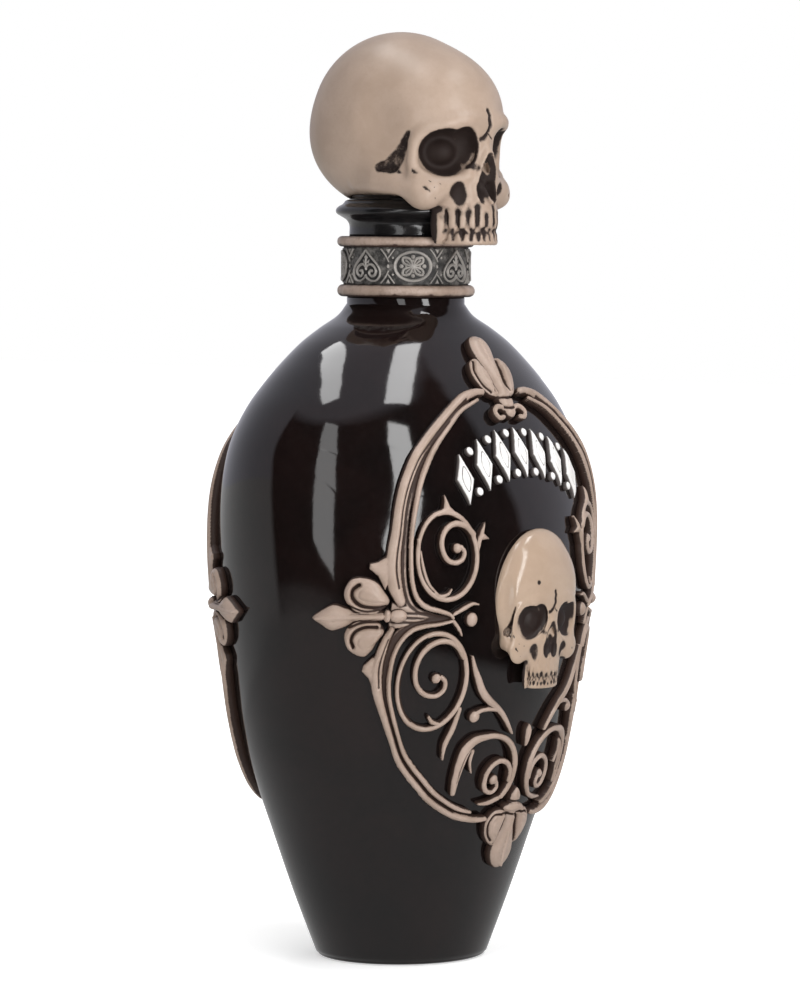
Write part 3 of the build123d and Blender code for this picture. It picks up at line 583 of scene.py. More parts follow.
def cast(plan, edging=0.7):
    """Closed mesh of a plan: (x, z, h) points, faces and wash."""
    edge, height = plan.edge, plan.height
    kept = edge[:-1, :-1] + edge[1:, :-1] + edge[1:, 1:] + edge[:-1, 1:] < 0
    ids = np.arange(edge.size).reshape(edge.shape)
    cells = np.stack([ids[:-1, :-1], ids[1:, :-1], ids[1:, 1:], ids[:-1, 1:]], -1)
    framed = np.pad(kept, 1)
    less, same, more = slice(0, -2), slice(1, -1), slice(2, None)
    neighbours = (same, less), (more, same), (same, more), (less, same)
    sides = []
    for a, neighbour in enumerate(neighbours):
        open_side = kept & ~framed[neighbour]
        sides.append(cells[open_side][:, [a, (a + 1) % 4]])
    sides = np.concatenate(sides)
    slope_x, slope_z = np.gradient(edge, plan.step)
    steep = np.maximum(np.hypot(slope_x, slope_z), 0.3)
    x, z = plan.grid_x.copy(), plan.grid_z.copy()
    border = np.zeros(edge.size, bool)
    border[sides.ravel()] = True
    move = np.clip(edge, -0.8 * plan.step, 0.8 * plan.step) * border.reshape(edge.shape)
    x -= move * slope_x / steep**2
    z -= move * slope_z / steep**2
    covered, near = edge < 0.7 * plan.step, 0.55
    cover = np.maximum(blur(np.where(covered, 1.0, 0), near, plan.step), 0.15)
    around = blur(np.where(covered, height, 0), near, plan.step) / cover
    wash = np.clip((around - height) / 0.32, -0.3, 1.2) + plan.dirt
    wash += edging * np.exp(-((np.minimum(edge, 0) / 0.2) ** 2)) * (height < 1.5)
    quads = cells[kept]
    used = np.unique(quads)
    order = np.full(edge.size, -1)
    order[used] = np.arange(len(used))
    top = np.stack([x.ravel()[used], z.ravel()[used], height.ravel()[used]], -1)
    low = top.copy()
    low[:, 2] = -BED
    quads, sides = order[quads], order[sides]
    n = len(used)
    walls = np.stack([sides[:, 0], sides[:, 0] + n, sides[:, 1] + n, sides[:, 1]], -1)
    faces = np.concatenate([quads, quads[:, ::-1] + n, walls])
    wash = np.concatenate([wash.ravel()[used], np.full(n, 1.3)])
    return np.concatenate([top, low]), faces, wash


PANEL_TURN = {"front": 1.0, "back": -1.0}


def press(name, plan, material=bone, halves=False):
    """The plan's mesh on the front and the back panel, and mirrored where it is half of a pair."""
    flat, faces, wash = cast(plan)
    hands = (("left_", 1), ("right_", -1)) if halves else (("", 1),)
    for side, turn in PANEL_TURN.items():
        for hand, flip in hands:
            points = on_body(flip * flat[:, 0], flat[:, 1], flat[:, 2])
            points[:, :2] *= turn
            node = side + "_" + hand + name
            wound = faces if flip == 1 else faces[:, ::-1]
            piece(node + "_relief", points, wound, "bottle", material, node, wash)


# The panel's left half: places and widths are shares of its reach, heights are millimetres

# Bars as (crest, shoulder), petals as (crest, shoulder, roll)
CURL, STEM, TWIG, HOOP, VALLEY = (2.0, 0.8), (1.9, 0.7), (1.7, 0.7), (1.75, 0.7), (0.85, 0.7)
OUTER_BAR, INNER_BAR, VEIN = (2.3, 1.0), (2.0, 0.9), (2.8, 2.0)
PETAL, PETAL_MIDDLE = (2.3, 0.8, 1.5), (2.6, 1.2, 0.9)


def lines(plan, points, widths, form):
    plan.ridge(to_plan(points), [REACH * w for w in widths], *form)


def petal_groove(plan, points, width, depth):
    """A groove soaked with wash."""
    plan.score(to_plan(points), width, depth, 0.75)


def oval_line(centre, radii, count):
    turns = np.linspace(0, 2 * np.pi, count, endpoint=False)
    return [(centre[0] + radii[0] * math.cos(t), centre[1] + radii[1] * math.sin(t)) for t in turns]


def both(points):
    """An outline's other half added; its first and last points lie on the middle line."""
    return list(points) + [(-x, z) for x, z in reversed(points[1:-1])]


def mirror_x(points):
    return [(-x, z) for x, z in points]


def petals(plan, side, inner, outer_groove, groove, outer_cut, cut):
    """A pair of side petals, each with a raised middle between two grooves; cuts are (width, depth)."""
    for turned in (list, mirror_x):
        plan.dome(to_plan(turned(side)), *PETAL)
    for turned in (list, mirror_x):
        petal_groove(plan, turned(outer_groove), *outer_cut)
        plan.dome(to_plan(turned(inner)), *PETAL_MIDDLE)
        petal_groove(plan, turned(groove), *cut)


def eye(plan, centre, radius=0.022):
    """The ball at a scroll's end."""
    plan.dome(to_plan(oval_line(centre, (radius, radius), 12)), 2.0, 0.7, REACH * radius)


def hoop(plan, centre, radii):
    plan.hoop(to_plan(oval_line(centre, radii, 24)), REACH * 0.026, *HOOP)


def hoop_groove(plan, centre, radii):
    """A fine groove along the hoop's side that faces the rim."""
    plan.score(to_plan(oval_line(centre, radii, 30))[9:21], 0.14, 0.45, 0.5)


def rim():
    plan = Plan((-44.5, 30.0), (-5.0, 120.5), 0.16)
    outer = [
        (-0.126, 0.87), (-0.17, 0.87), (-0.24, 0.852), (-0.324, 0.808), (-0.432, 0.74), (-0.522, 0.676),
        (-0.596, 0.612), (-0.662, 0.522), (-0.702, 0.432), (-0.724, 0.33), (-0.74, 0.25), (-0.744, 0.18),
        (-0.73, 0.11), (-0.702, 0.052),
    ]
    outer_widths = [
        0.026, 0.03, 0.036, 0.04, 0.046, 0.048, 0.05, 0.052, 0.054, 0.058, 0.064, 0.072, 0.064, 0.04,
    ]
    inner = [
        (-0.17, 0.84), (-0.28, 0.802), (-0.366, 0.748), (-0.458, 0.68), (-0.528, 0.612), (-0.592, 0.522),
        (-0.634, 0.42), (-0.658, 0.32), (-0.664, 0.22), (-0.656, 0.13), (-0.632, 0.066), (-0.59, 0.03),
        (-0.53, 0.012), (-0.486, -0.002), (-0.468, -0.018),
    ]
    inner_widths = [0.012, 0.018, 0.022, 0.024, 0.026, 0.026, 0.024, *[0.022] * 4, 0.024, 0.022, 0.018, 0.014]
    valley = [
        (-0.21, 0.846), (-0.372, 0.76), (-0.486, 0.682), (-0.562, 0.612), (-0.626, 0.522), (-0.668, 0.426),
        (-0.69, 0.324), (-0.698, 0.22), (-0.694, 0.13), (-0.672, 0.056), (-0.63, 0.012), (-0.55, -0.012),
    ]
    valley_widths = [0.012, 0.03, 0.034, 0.036, 0.036, 0.034, 0.034, 0.036, 0.036, 0.034, 0.03, 0.024]
    foot_outer = [
        (-0.734, -0.062), (-0.754, -0.1), (-0.77, -0.156), (-0.78, -0.22), (-0.77, -0.296), (-0.738, -0.378),
        (-0.67, -0.51), (-0.612, -0.61), (-0.508, -0.71), (-0.434, -0.772), (-0.328, -0.832), (-0.25, -0.856),
        (-0.19, -0.864), (-0.152, -0.862),
    ]
    foot_outer_widths = [
        0.024, 0.036, 0.044, 0.052, 0.048, 0.038, 0.03, 0.028, 0.028, 0.028, 0.028, 0.028, 0.026, 0.022,
    ]
    foot_inner = [
        (-0.472, -0.03), (-0.53, -0.042), (-0.59, -0.048), (-0.646, -0.066), (-0.688, -0.108),
        (-0.712, -0.164), (-0.72, -0.228), (-0.718, -0.29), (-0.7, -0.368), (-0.648, -0.488),
        (-0.59, -0.588), (-0.486, -0.688), (-0.412, -0.75), (-0.312, -0.806), (-0.234, -0.83),
    ]
    foot_inner_widths = [0.014, 0.018, *[0.022] * 8, 0.024, 0.024, 0.024, 0.022, 0.014]
    foot_valley = [
        (-0.57, -0.028), (-0.648, -0.048), (-0.706, -0.084), (-0.738, -0.156), (-0.746, -0.226),
        (-0.74, -0.3), (-0.718, -0.374), (-0.66, -0.498), (-0.6, -0.598), (-0.498, -0.7), (-0.424, -0.76),
        (-0.32, -0.82), (-0.24, -0.844),
    ]
    foot_valley_widths = [0.02, 0.024, 0.03, 0.036, 0.036, 0.036, 0.03, *[0.024] * 5, 0.02]
    fold = to_plan([
        (-0.74, 0.05), (-0.66, 0.03), (-0.58, 0.004), (-0.5, -0.01), (-0.466, -0.022), (-0.5, -0.03),
        (-0.58, -0.036), (-0.66, -0.048), (-0.75, -0.066),
    ])
    plan.lay(plan.area(fold), 1.0, 0.8, 1.0)
    lines(plan, valley, valley_widths, VALLEY)
    lines(plan, foot_valley, foot_valley_widths, VALLEY)
    lines(plan, outer, outer_widths, OUTER_BAR)
    lines(plan, foot_outer, foot_outer_widths, OUTER_BAR)
    lines(plan, inner, inner_widths, INNER_BAR)
    lines(plan, foot_inner, foot_inner_widths, INNER_BAR)
    upper_barb = [
        (-0.74, 0.29), (-0.77, 0.24), (-0.81, 0.216), (-0.848, 0.208), (-0.85, 0.186), (-0.81, 0.156),
        (-0.776, 0.1), (-0.73, 0.16),
    ]
    lower_barb = [
        (-0.768, -0.15), (-0.81, -0.176), (-0.842, -0.208), (-0.846, -0.232), (-0.812, -0.262),
        (-0.778, -0.33), (-0.75, -0.24),
    ]
    for barb in (upper_barb, lower_barb):
        plan.dome(to_plan(barb), 1.9, 0.9, 1.3, smooth=False)
    upper_thorn = [(-0.464, -0.004), (-0.42, 0.018), (-0.38, 0.036), (-0.352, 0.032)]
    lower_thorn = [(-0.464, -0.032), (-0.438, -0.062), (-0.422, -0.09)]
    lines(plan, upper_thorn, [0.016, 0.022, 0.018, 0.008], TWIG)
    lines(plan, lower_thorn, [0.016, 0.018, 0.006], TWIG)
    inset = to_plan(outer)[2:-1]
    inset[:, 0] += np.linspace(0.35, 0.75, len(inset))
    inset[:, 1] -= np.linspace(0.45, 0.0, len(inset))
    foot_inset = to_plan(foot_outer)[1:5]
    foot_inset[:, 0] += 0.5
    for line in (inset, foot_inset):
        plan.score(line, 0.26, 0.5, 0.75)
    for line in (to_plan(valley)[1:], to_plan(foot_valley)[:-1]):
        plan.score(line, 0.42, 0.2, 0.9, floor=0.6)
    for bend in (-0.012, 0.006, -0.03):
        crease = [(-0.735, bend), (-0.62, bend - 0.006), (-0.55, bend / 2 - 0.014), (-0.49, -0.02)]
        plan.score(to_plan(crease), 0.4, 0.3, 0.8)
    press("rim", plan, halves=True)


def side_fleur():
    plan = Plan((-57.5, 64.0), (-31.5, 84.5), 0.13)
    upper = [
        (-0.752, 0.048), (-0.778, 0.098), (-0.816, 0.136), (-0.87, 0.152), (-0.928, 0.146), (-0.958, 0.102),
        (-0.95, 0.056), (-0.9, 0.012), (-0.82, -0.002),
    ]
    lower = [
        (-0.764, -0.066), (-0.79, -0.11), (-0.816, -0.154), (-0.85, -0.174), (-0.912, -0.148), (-0.94, -0.1),
        (-0.932, -0.056), (-0.88, -0.022), (-0.81, -0.016),
    ]
    centre = [
        (-1.1, -0.014), (-1.05, 0.022), (-1.0, 0.042), (-0.94, 0.028), (-0.88, 0.01), (-0.74, 0.012),
        (-0.74, -0.022), (-0.88, -0.024), (-0.94, -0.052), (-1.0, -0.068), (-1.052, -0.046),
    ]
    for petal in (upper, lower):
        plan.dome(to_plan(petal), 2.3, 0.8, 1.7)
    upper_groove = [
        (-0.77, 0.03), (-0.82, 0.028), (-0.875, 0.036), (-0.915, 0.066), (-0.918, 0.1), (-0.89, 0.122),
    ]
    lower_groove = [(-0.8, -0.05), (-0.85, -0.05), (-0.89, -0.068), (-0.905, -0.1), (-0.893, -0.128)]
    petal_groove(plan, upper_groove, 0.42, 1.25)
    petal_groove(plan, lower_groove, 0.36, 1.1)
    upper_middle = [
        (-0.765, 0.05), (-0.81, 0.1), (-0.86, 0.118), (-0.893, 0.1), (-0.893, 0.068), (-0.85, 0.05),
    ]
    lower_middle = [
        (-0.772, -0.066), (-0.83, -0.068), (-0.878, -0.088), (-0.882, -0.124), (-0.845, -0.146),
        (-0.8, -0.118),
    ]
    plan.dome(to_plan(upper_middle), 2.65, 1.2, 1.1)
    plan.dome(to_plan(lower_middle), 2.55, 1.2, 1.1)
    upper_crease = [
        (-0.77, 0.034), (-0.82, 0.03), (-0.87, 0.038), (-0.91, 0.064), (-0.92, 0.1), (-0.9, 0.124),
    ]
    lower_crease = [(-0.78, -0.052), (-0.84, -0.05), (-0.89, -0.066), (-0.91, -0.1), (-0.895, -0.135)]
    for crease in (upper_crease, lower_crease):
        petal_groove(plan, crease, 0.5, 0.35)
    plan.dome(to_plan(centre), 2.45, 0.8, 1.6, power=1.5)
    vein = [(-1.08, -0.014), (-1.0, -0.012), (-0.9, -0.008), (-0.78, -0.006)]
    lines(plan, vein, [0.008, 0.03, 0.022, 0.02], (2.8, 1.8))
    petal_groove(plan, [(-0.78, 0.02), (-0.86, 0.016), (-0.93, 0.036)], 0.26, 0.7)
    petal_groove(plan, [(-0.78, -0.03), (-0.86, -0.03), (-0.92, -0.052)], 0.26, 0.7)
    for x, radii in ((-0.758, (0.017, 0.026)), (-0.712, (0.04, 0.028))):
        plan.dome(to_plan(oval_line((x, -0.004), radii, 14)), 2.8, 1.2, REACH * min(radii))
    press("side_fleur", plan, halves=True)


def top_fleur():
    plan = Plan((-8.0, 112.0), (8.0, 131.0), 0.12)
    side = [
        (-0.078, 1.006), (-0.114, 0.986), (-0.128, 0.944), (-0.112, 0.896), (-0.076, 0.858), (-0.03, 0.85),
        (-0.03, 0.9), (-0.04, 0.96), (-0.054, 0.998),
    ]
    curl = [(-0.02, 0.8), (-0.064, 0.812), (-0.096, 0.792), (-0.084, 0.768), (-0.056, 0.77)]
    inner = [(-0.074, 0.98), (-0.098, 0.95), (-0.09, 0.91), (-0.062, 0.88), (-0.044, 0.9), (-0.05, 0.95)]
    groove = [(-0.062, 0.992), (-0.052, 0.95), (-0.044, 0.9), (-0.05, 0.872)]
    outer_groove = [(-0.09, 0.99), (-0.113, 0.95), (-0.1, 0.9), (-0.07, 0.868)]
    for turned in (list, mirror_x):
        lines(plan, turned(curl), [0.02, 0.024, 0.024, 0.022, 0.02], (2.1, 0.8))
    petals(plan, side, inner, outer_groove, groove, (0.24, 0.9), (0.26, 1.1))
    bud = [(0, 0.9), (-0.04, 0.85), (-0.034, 0.8), (-0.026, 0.775), (0, 0.765)]
    plan.dome(to_plan(both(bud)), 2.4, 0.8, 1.3)
    plan.dome(to_plan(both([
        (0, 1.096), (-0.04, 1.084), (-0.06, 1.044), (-0.052, 0.996), (-0.032, 0.93), (-0.028, 0.85),
        (0, 0.83),
    ])), 2.5, 0.9, 1.6, power=1.7)
    petal_groove(plan, [(-0.04, 0.846), (0, 0.84), (0.04, 0.846)], 0.26, 0.8)
    petal_groove(plan, [(-0.034, 0.806), (0, 0.8), (0.034, 0.806)], 0.26, 0.7)
    lines(plan, [(0, 1.07), (0, 1.0), (0, 0.92)], [0.01, 0.026, 0.012], VEIN)
    press("top_fleur", plan)


def bottom_fleur():
    plan = Plan((-8.5, 18.5), (8.5, 40.0), 0.12)
    side = [
        (-0.03, -0.84), (-0.096, -0.832), (-0.136, -0.876), (-0.126, -0.932), (-0.096, -0.972),
        (-0.06, -0.988), (-0.046, -0.954), (-0.034, -0.9),
    ]
    inner = [
        (-0.05, -0.862), (-0.088, -0.862), (-0.11, -0.888), (-0.1, -0.926), (-0.074, -0.95), (-0.058, -0.91),
    ]
    groove = [(-0.036, -0.86), (-0.046, -0.9), (-0.06, -0.95), (-0.066, -0.975)]
    outer_groove = [(-0.06, -0.85), (-0.1, -0.852), (-0.122, -0.886), (-0.112, -0.93), (-0.088, -0.96)]
    petals(plan, side, inner, outer_groove, groove, (0.22, 0.8), (0.28, 1.1))
    plan.dome(to_plan(both([(0, -0.74), (-0.028, -0.768), (-0.026, -0.8), (0, -0.83)])), 2.4, 0.8, 1.2)
    plan.dome(to_plan(both([
        (0, -0.81), (-0.028, -0.83), (-0.034, -0.9), (-0.058, -0.96), (-0.066, -1.02), (-0.04, -1.07),
        (0, -1.09),
    ])), 2.5, 0.9, 1.7, power=1.6)
    plan.dome(to_plan(oval_line((0, -0.824), (0.06, 0.022), 16)), 2.8, 1.1, 1.1)
    petal_groove(plan, [(-0.058, -0.846), (0, -0.852), (0.058, -0.846)], 0.2, 0.7)
    petal_groove(plan, [(-0.05, -0.8), (0, -0.796), (0.05, -0.8)], 0.2, 0.7)
    lines(plan, [(0, -1.07), (0, -1.0), (0, -0.9), (0, -0.86)], [0.01, 0.03, 0.014, 0.01], VEIN)
    press("bottom_fleur", plan)


def upper_scroll():
    plan = Plan((-33.5, 76.0), (-12.5, 100.5), 0.14)
    centre = (-0.495, 0.232)
    hoop(plan, centre, (0.137, 0.175))
    tail = [(-0.63, 0.3), (-0.615, 0.2), (-0.586, 0.12), (-0.54, 0.075)]
    lines(plan, tail, [0.012, 0.022, 0.024, 0.014], (1.95, 0.8))
    twig = [(-0.572, 0.092), (-0.532, 0.072), (-0.496, 0.078), (-0.48, 0.098)]
    lines(plan, twig, [0.016, 0.02, 0.016, 0.008], TWIG)
    lines(plan, [
        (-0.372, 0.316), (-0.404, 0.348), (-0.454, 0.36), (-0.498, 0.34), (-0.522, 0.298), (-0.52, 0.252),
        (-0.498, 0.216), (-0.464, 0.204), (-0.432, 0.216), (-0.42, 0.244), (-0.434, 0.266),
    ], [0.03, 0.028, 0.028, 0.026, 0.026, 0.026, 0.026, 0.024, 0.024, 0.022, 0.022], CURL)
    eye(plan, (-0.45, 0.262))
    upper_leaf = [
        (-0.55, 0.398), (-0.504, 0.424), (-0.486, 0.478), (-0.466, 0.428), (-0.426, 0.392), (-0.49, 0.4),
    ]
    side_leaf = [
        (-0.362, 0.28), (-0.332, 0.332), (-0.3, 0.364), (-0.314, 0.318), (-0.286, 0.294), (-0.328, 0.288),
        (-0.35, 0.23),
    ]
    for leaf in (upper_leaf, side_leaf):
        plan.dome(to_plan(leaf), 1.9, 0.7, 1.0, smooth=False)
    hoop_groove(plan, centre, (0.128, 0.166))
    press("upper_scroll", plan, halves=True)


def middle_scroll():
    plan = Plan((-35.5, 43.5), (-16.5, 72.5), 0.14)
    centre = (-0.53, -0.276)
    hoop(plan, centre, (0.15, 0.196))
    lines(plan, [
        (-0.408, -0.184), (-0.436, -0.14), (-0.472, -0.116), (-0.516, -0.112), (-0.564, -0.132),
        (-0.6, -0.176), (-0.612, -0.234), (-0.598, -0.29), (-0.558, -0.328), (-0.508, -0.334),
        (-0.478, -0.31), (-0.476, -0.278), (-0.494, -0.258),
    ], [0.014, 0.022, 0.026, 0.028, 0.028, 0.026, 0.026, 0.024, 0.024, 0.024, 0.024, 0.022, 0.02], CURL)
    eye(plan, (-0.516, -0.264))
    lines(plan, [(-0.524, -0.422), (-0.504, -0.444), (-0.468, -0.452)], [0.014, 0.022, 0.014], TWIG)
    stem = [(-0.392, -0.392), (-0.408, -0.472), (-0.43, -0.54), (-0.428, -0.6)]
    lines(plan, stem, [0.02, 0.03, 0.028, 0.006], STEM)
    hoop_groove(plan, centre, (0.142, 0.187))
    press("middle_scroll", plan, halves=True)


def lower_scroll():
    plan = Plan((-19.0, 33.5), (-1.2, 51.5), 0.13)
    lines(plan, [
        (-0.34, -0.744), (-0.344, -0.686), (-0.338, -0.62), (-0.324, -0.566), (-0.292, -0.53),
        (-0.24, -0.516), (-0.19, -0.514), (-0.132, -0.53), (-0.084, -0.568), (-0.054, -0.622),
        (-0.048, -0.68), (-0.06, -0.732), (-0.088, -0.774),
    ], [0.026, 0.04, 0.05, 0.054, 0.042, 0.03, 0.026, 0.028, 0.03, 0.032, 0.032, 0.03, 0.024], CURL)
    lines(plan, [
        (-0.066, -0.708), (-0.07, -0.664), (-0.094, -0.634), (-0.134, -0.622), (-0.174, -0.638),
        (-0.196, -0.672), (-0.196, -0.714), (-0.178, -0.744), (-0.148, -0.752), (-0.128, -0.732),
        (-0.134, -0.71),
    ], [0.02, 0.024, 0.026, 0.026, 0.026, 0.026, 0.026, 0.024, 0.022, 0.02, 0.02], STEM)
    eye(plan, (-0.15, -0.7))
    lines(plan, [(-0.292, -0.572), (-0.294, -0.62), (-0.278, -0.66)], [0.02, 0.016, 0.006], TWIG)
    lines(plan, [(-0.198, -0.8), (-0.15, -0.798), (-0.1, -0.782)], [0.01, 0.026, 0.024], TWIG)
    crease = [(-0.336, -0.7), (-0.334, -0.64), (-0.32, -0.585), (-0.29, -0.553), (-0.25, -0.535)]
    plan.score(to_plan(crease), 0.16, 0.5, 0.5)
    press("lower_scroll", plan, halves=True)


def tendril():
    plan = Plan((-19.5, 48.5), (-4.0, 67.5), 0.13)
    lines(plan, [
        (-0.364, -0.18), (-0.346, -0.228), (-0.322, -0.274), (-0.294, -0.324), (-0.254, -0.364),
        (-0.198, -0.404), (-0.156, -0.444), (-0.118, -0.492), (-0.106, -0.508),
    ], [0.012, 0.026, 0.034, 0.038, 0.036, 0.03, 0.026, 0.018, 0.008], STEM)
    branch = [(-0.196, -0.408), (-0.24, -0.4), (-0.28, -0.402), (-0.306, -0.412)]
    lines(plan, branch, [0.016, 0.022, 0.022, 0.022], (1.8, 0.7))
    eye(plan, (-0.314, -0.428), 0.026)
    press("tendril", plan, halves=True)


def accent_beads():
    plan = Plan((-21.5, 44.5), (21.5, 76.5), 0.14)
    for x in (-0.378, 0.378):
        plan.dome(to_plan(oval_line((x, -0.028), (0.028, 0.031), 14)), 2.0, 0.5, 1.35)
    plan.dome(to_plan(both([(0, -0.476), (-0.018, -0.5), (-0.016, -0.54), (0, -0.574)])), 1.9, 0.6, 0.9)
    press("accent_beads", plan)


def lozenge(x, z, wide, tall):
    return to_plan([(x, z + tall), (x - wide, z), (x, z - tall), (x + wide, z)])


def label_row():
    """Seven bevelled lozenges along an arch, with a bead above and below each gap."""
    plan = Plan((-22.0, 94.0), (22.0, 114.5), 0.13)
    last, pitch, crown, drop = 6, 0.06, 0.634, 0.1
    for i in range(-last, last + 1):
        x, z = i * pitch, crown - drop * (i / last) ** 2
        if i % 2 == 0:
            plan.lay(plan.area(lozenge(x, z, 0.046, 0.104)), 1.35, 0.55, 0.75, power=1.25)
            plan.score(lozenge(x, z, 0.02, 0.05), 0.14, 0.35, 0.35, closed=True)
        else:
            for beyond in (-0.08, 0.08):
                plan.dome(to_plan(oval_line((x, z + beyond), (0.018, 0.018), 12)), 1.3, 0.5, 0.85)
    press("label_row", plan, white)


# Raised work on the neck band: plans in millimetres round the band and up from its middle

BAND_STEP, GROUND = 0.07, (0.12, 0.1, 0.5)


def stamp(name, node, plan, count, first):
    """The plan's mesh repeated round the band, from a first place in degrees."""
    flat, faces, wash = cast(plan, 0.1)
    wash = np.where(flat[:, 2] < 0.15, 1.1, wash)
    middle = BAND_BOTTOM + BAND_HEIGHT / 2
    points, all_faces = [], []
    for i in range(count):
        turn = math.radians(first + 360 * i / count) * BAND_RADIUS
        points.append(on_band(flat[:, 0] + turn, flat[:, 1] + middle, flat[:, 2]))
        all_faces.append(faces + i * len(flat))
    points, all_faces = np.concatenate(points), np.concatenate(all_faces)
    piece(name, points, all_faces, "bottle", pewter, node, np.tile(wash, count))


def band_hearts():
    """Pointed frames that each hold two curls, a bud and a small leaf on either side."""
    plan = Plan((-4.2, -4.1), (4.2, 4.1), BAND_STEP)
    outline = [
        (0.0, 3.3), (0.7, 2.5), (1.7, 1.45), (2.75, 0.3), (3.4, -0.9), (3.35, -2.05), (2.6, -2.95),
        (1.45, -3.1), (0.35, -2.5), (0.0, -1.9),
    ]
    curl = [
        (0.1, -0.2), (0.75, 0.35), (1.7, 0.15), (2.4, -0.7), (2.25, -1.7), (1.45, -2.1), (0.85, -1.55),
        (1.05, -0.95), (1.5, -1.0),
    ]
    leaf = [(0.2, 0.75), (0.75, 1.25), (0.55, 0.6)]
    plan.lay(plan.area(smooth_line(outline + mirror_x(outline[-2:0:-1]), True)), *GROUND)
    for turned in (mirror_x, list):
        plan.ridge(turned(outline), [0.32, 0.36, 0.38, 0.4, 0.44, 0.44, 0.4, 0.36, 0.34, 0.3], 0.6, 0.2)
        plan.ridge(turned(curl), [0.28, 0.36, 0.42, 0.42, 0.4, 0.36, 0.34, 0.34, 0.42], 0.55, 0.18)
        plan.dome(turned(leaf), 0.5, 0.18, 0.25, smooth=False)
    plan.ridge([(0, -0.7), (0, 0.4), (0, 1.5)], [0.22, 0.3, 0.26], 0.55, 0.18)
    plan.dome([(0, 2.4), (0.36, 1.8), (0, 1.2), (-0.36, 1.8)], 0.6, 0.2, 0.3, smooth=False)
    stamp("hearts", "band_hearts", plan, 4, 0)


def band_roundels():
    """Oval rings that each hold a four-petal flower with beads and leaves between its petals."""
    plan = Plan((-4.3, -3.6), (4.3, 3.6), BAND_STEP)
    petal = [(0.35, 0.0), (0.95, 0.5), (1.75, 0.62), (2.45, 0.0), (1.75, -0.62), (0.95, -0.5)]
    stretch = 1.18
    plan.lay(plan.area(np.array(oval_line((0, 0), (3.6, 2.9), 40))), *GROUND)
    plan.hoop(oval_line((0, 0), (3.75, 3.02), 28), 0.54, 0.6, 0.2)
    for k in range(4):
        turn = math.radians(45 + 90 * k)
        cos, sin = math.cos(turn), math.sin(turn)
        plan.hoop([(stretch * (x * cos - z * sin), x * sin + z * cos) for x, z in petal], 0.38, 0.55, 0.18)
        plan.ridge([(0.75 * cos, 0.6 * sin), (2.0 * cos, 1.7 * sin)], [0.2, 0.32], 0.5, 0.15)
        side = math.radians(90 * k)
        cos, sin = math.cos(side), math.sin(side)
        plan.dome(oval_line((2.35 * cos, 1.95 * sin), (0.34, 0.34), 10), 0.55, 0.2, 0.3)
        plan.dome(oval_line((1.4 * cos, 1.15 * sin), (0.2, 0.2), 8), 0.45, 0.15, 0.2)
    plan.dome(oval_line((0, 0), (0.62, 0.58), 14), 0.6, 0.25, 0.55)
    stamp("roundels", "band_roundels", plan, 4, 45)


def band_chevrons():
    """Slanting ribs with curls and small leaves in the corners between the frames."""
    plan = Plan((-1.9, -3.9), (1.9, 3.9), BAND_STEP)
    for sign in (-1, 1):
        plan.ridge([(-1.5, 3.5 * sign), (-0.5, 2.2 * sign), (0.1, 1.0 * sign)], [0.3, 0.34, 0.24], 0.5, 0.16)
        plan.ridge([(1.3, 3.5 * sign), (0.6, 2.5 * sign), (0.0, 1.7 * sign)], [0.26, 0.3, 0.22], 0.5, 0.16)
        plan.dome([(-0.5, 3.6 * sign), (0.5, 3.6 * sign), (0.05, 2.6 * sign)], 0.5, 0.2, 0.3, smooth=False)
        plan.dome(oval_line((1.0, 1.75 * sign), (0.22, 0.26), 8), 0.4, 0.15, 0.2)
    plan.dome(oval_line((0, 0), (0.26, 0.42), 10), 0.45, 0.15, 0.22)
    stamp("chevrons", "band_chevrons", plan, 8, 22.5)


# Skulls: solids on a grid of signed distances, shaped by soft joining and carving


def egg(centre, radii, turn=0.0):
    """An ellipsoid, turned about the vertical by degrees."""
    c, r = np.array(centre, float), np.array(radii, float)
    cos, sin = math.cos(math.radians(turn)), math.sin(math.radians(turn))

    def gap(x, y, z):
        u, v, w = x - c[0], y - c[1], z - c[2]
        u, v = u * cos + v * sin, v * cos - u * sin
        near = np.sqrt((u / r[0]) ** 2 + (v / r[1]) ** 2 + (w / r[2]) ** 2)
        slope = np.sqrt((u / r[0] ** 2) ** 2 + (v / r[1] ** 2) ** 2 + (w / r[2] ** 2) ** 2)
        return near * (near - 1) / np.maximum(slope, 1e-4)

    reach = r.copy()
    if turn:
        reach[:2] = max(r[:2])
    return gap, c - reach, c + reach


def limb(points, radii):
    """Rounded bars joined end to end."""
    p, r = np.array(points, float), list(radii)

    def gap(x, y, z):
        nearest = None
        for a, b, r0, r1 in zip(p, p[1:], r, r[1:]):
            d = b - a
            t = ((x - a[0]) * d[0] + (y - a[1]) * d[1] + (z - a[2]) * d[2]) / max(d @ d, 1e-9)
            t = np.clip(t, 0, 1)
            u, v, w = x - a[0] - t * d[0], y - a[1] - t * d[1], z - a[2] - t * d[2]
            away = np.sqrt(u**2 + v**2 + w**2) - (r0 + (r1 - r0) * t)
            nearest = away if nearest is None else np.minimum(nearest, away)
        return nearest

    return gap, p.min(0) - max(r), p.max(0) + max(r)


def stub(centre, radii, low, high):
    """An upright oval bar between two heights."""
    a, b = radii

    def gap(x, y, z):
        side = (np.sqrt(((x - centre[0]) / a) ** 2 + ((y - centre[1]) / b) ** 2) - 1) * min(a, b)
        return np.maximum(side, np.maximum(low - z, z - high))

    return gap, np.array([centre[0] - a, centre[1] - b, low]), np.array([centre[0] + a, centre[1] + b, high])


def flip_x(shape):
    """The shape's mirror image."""
    gap, (left, *low), (right, *high) = shape
    return (lambda x, y, z: gap(-x, y, z)), np.array([-right, *low]), np.array([-left, *high])


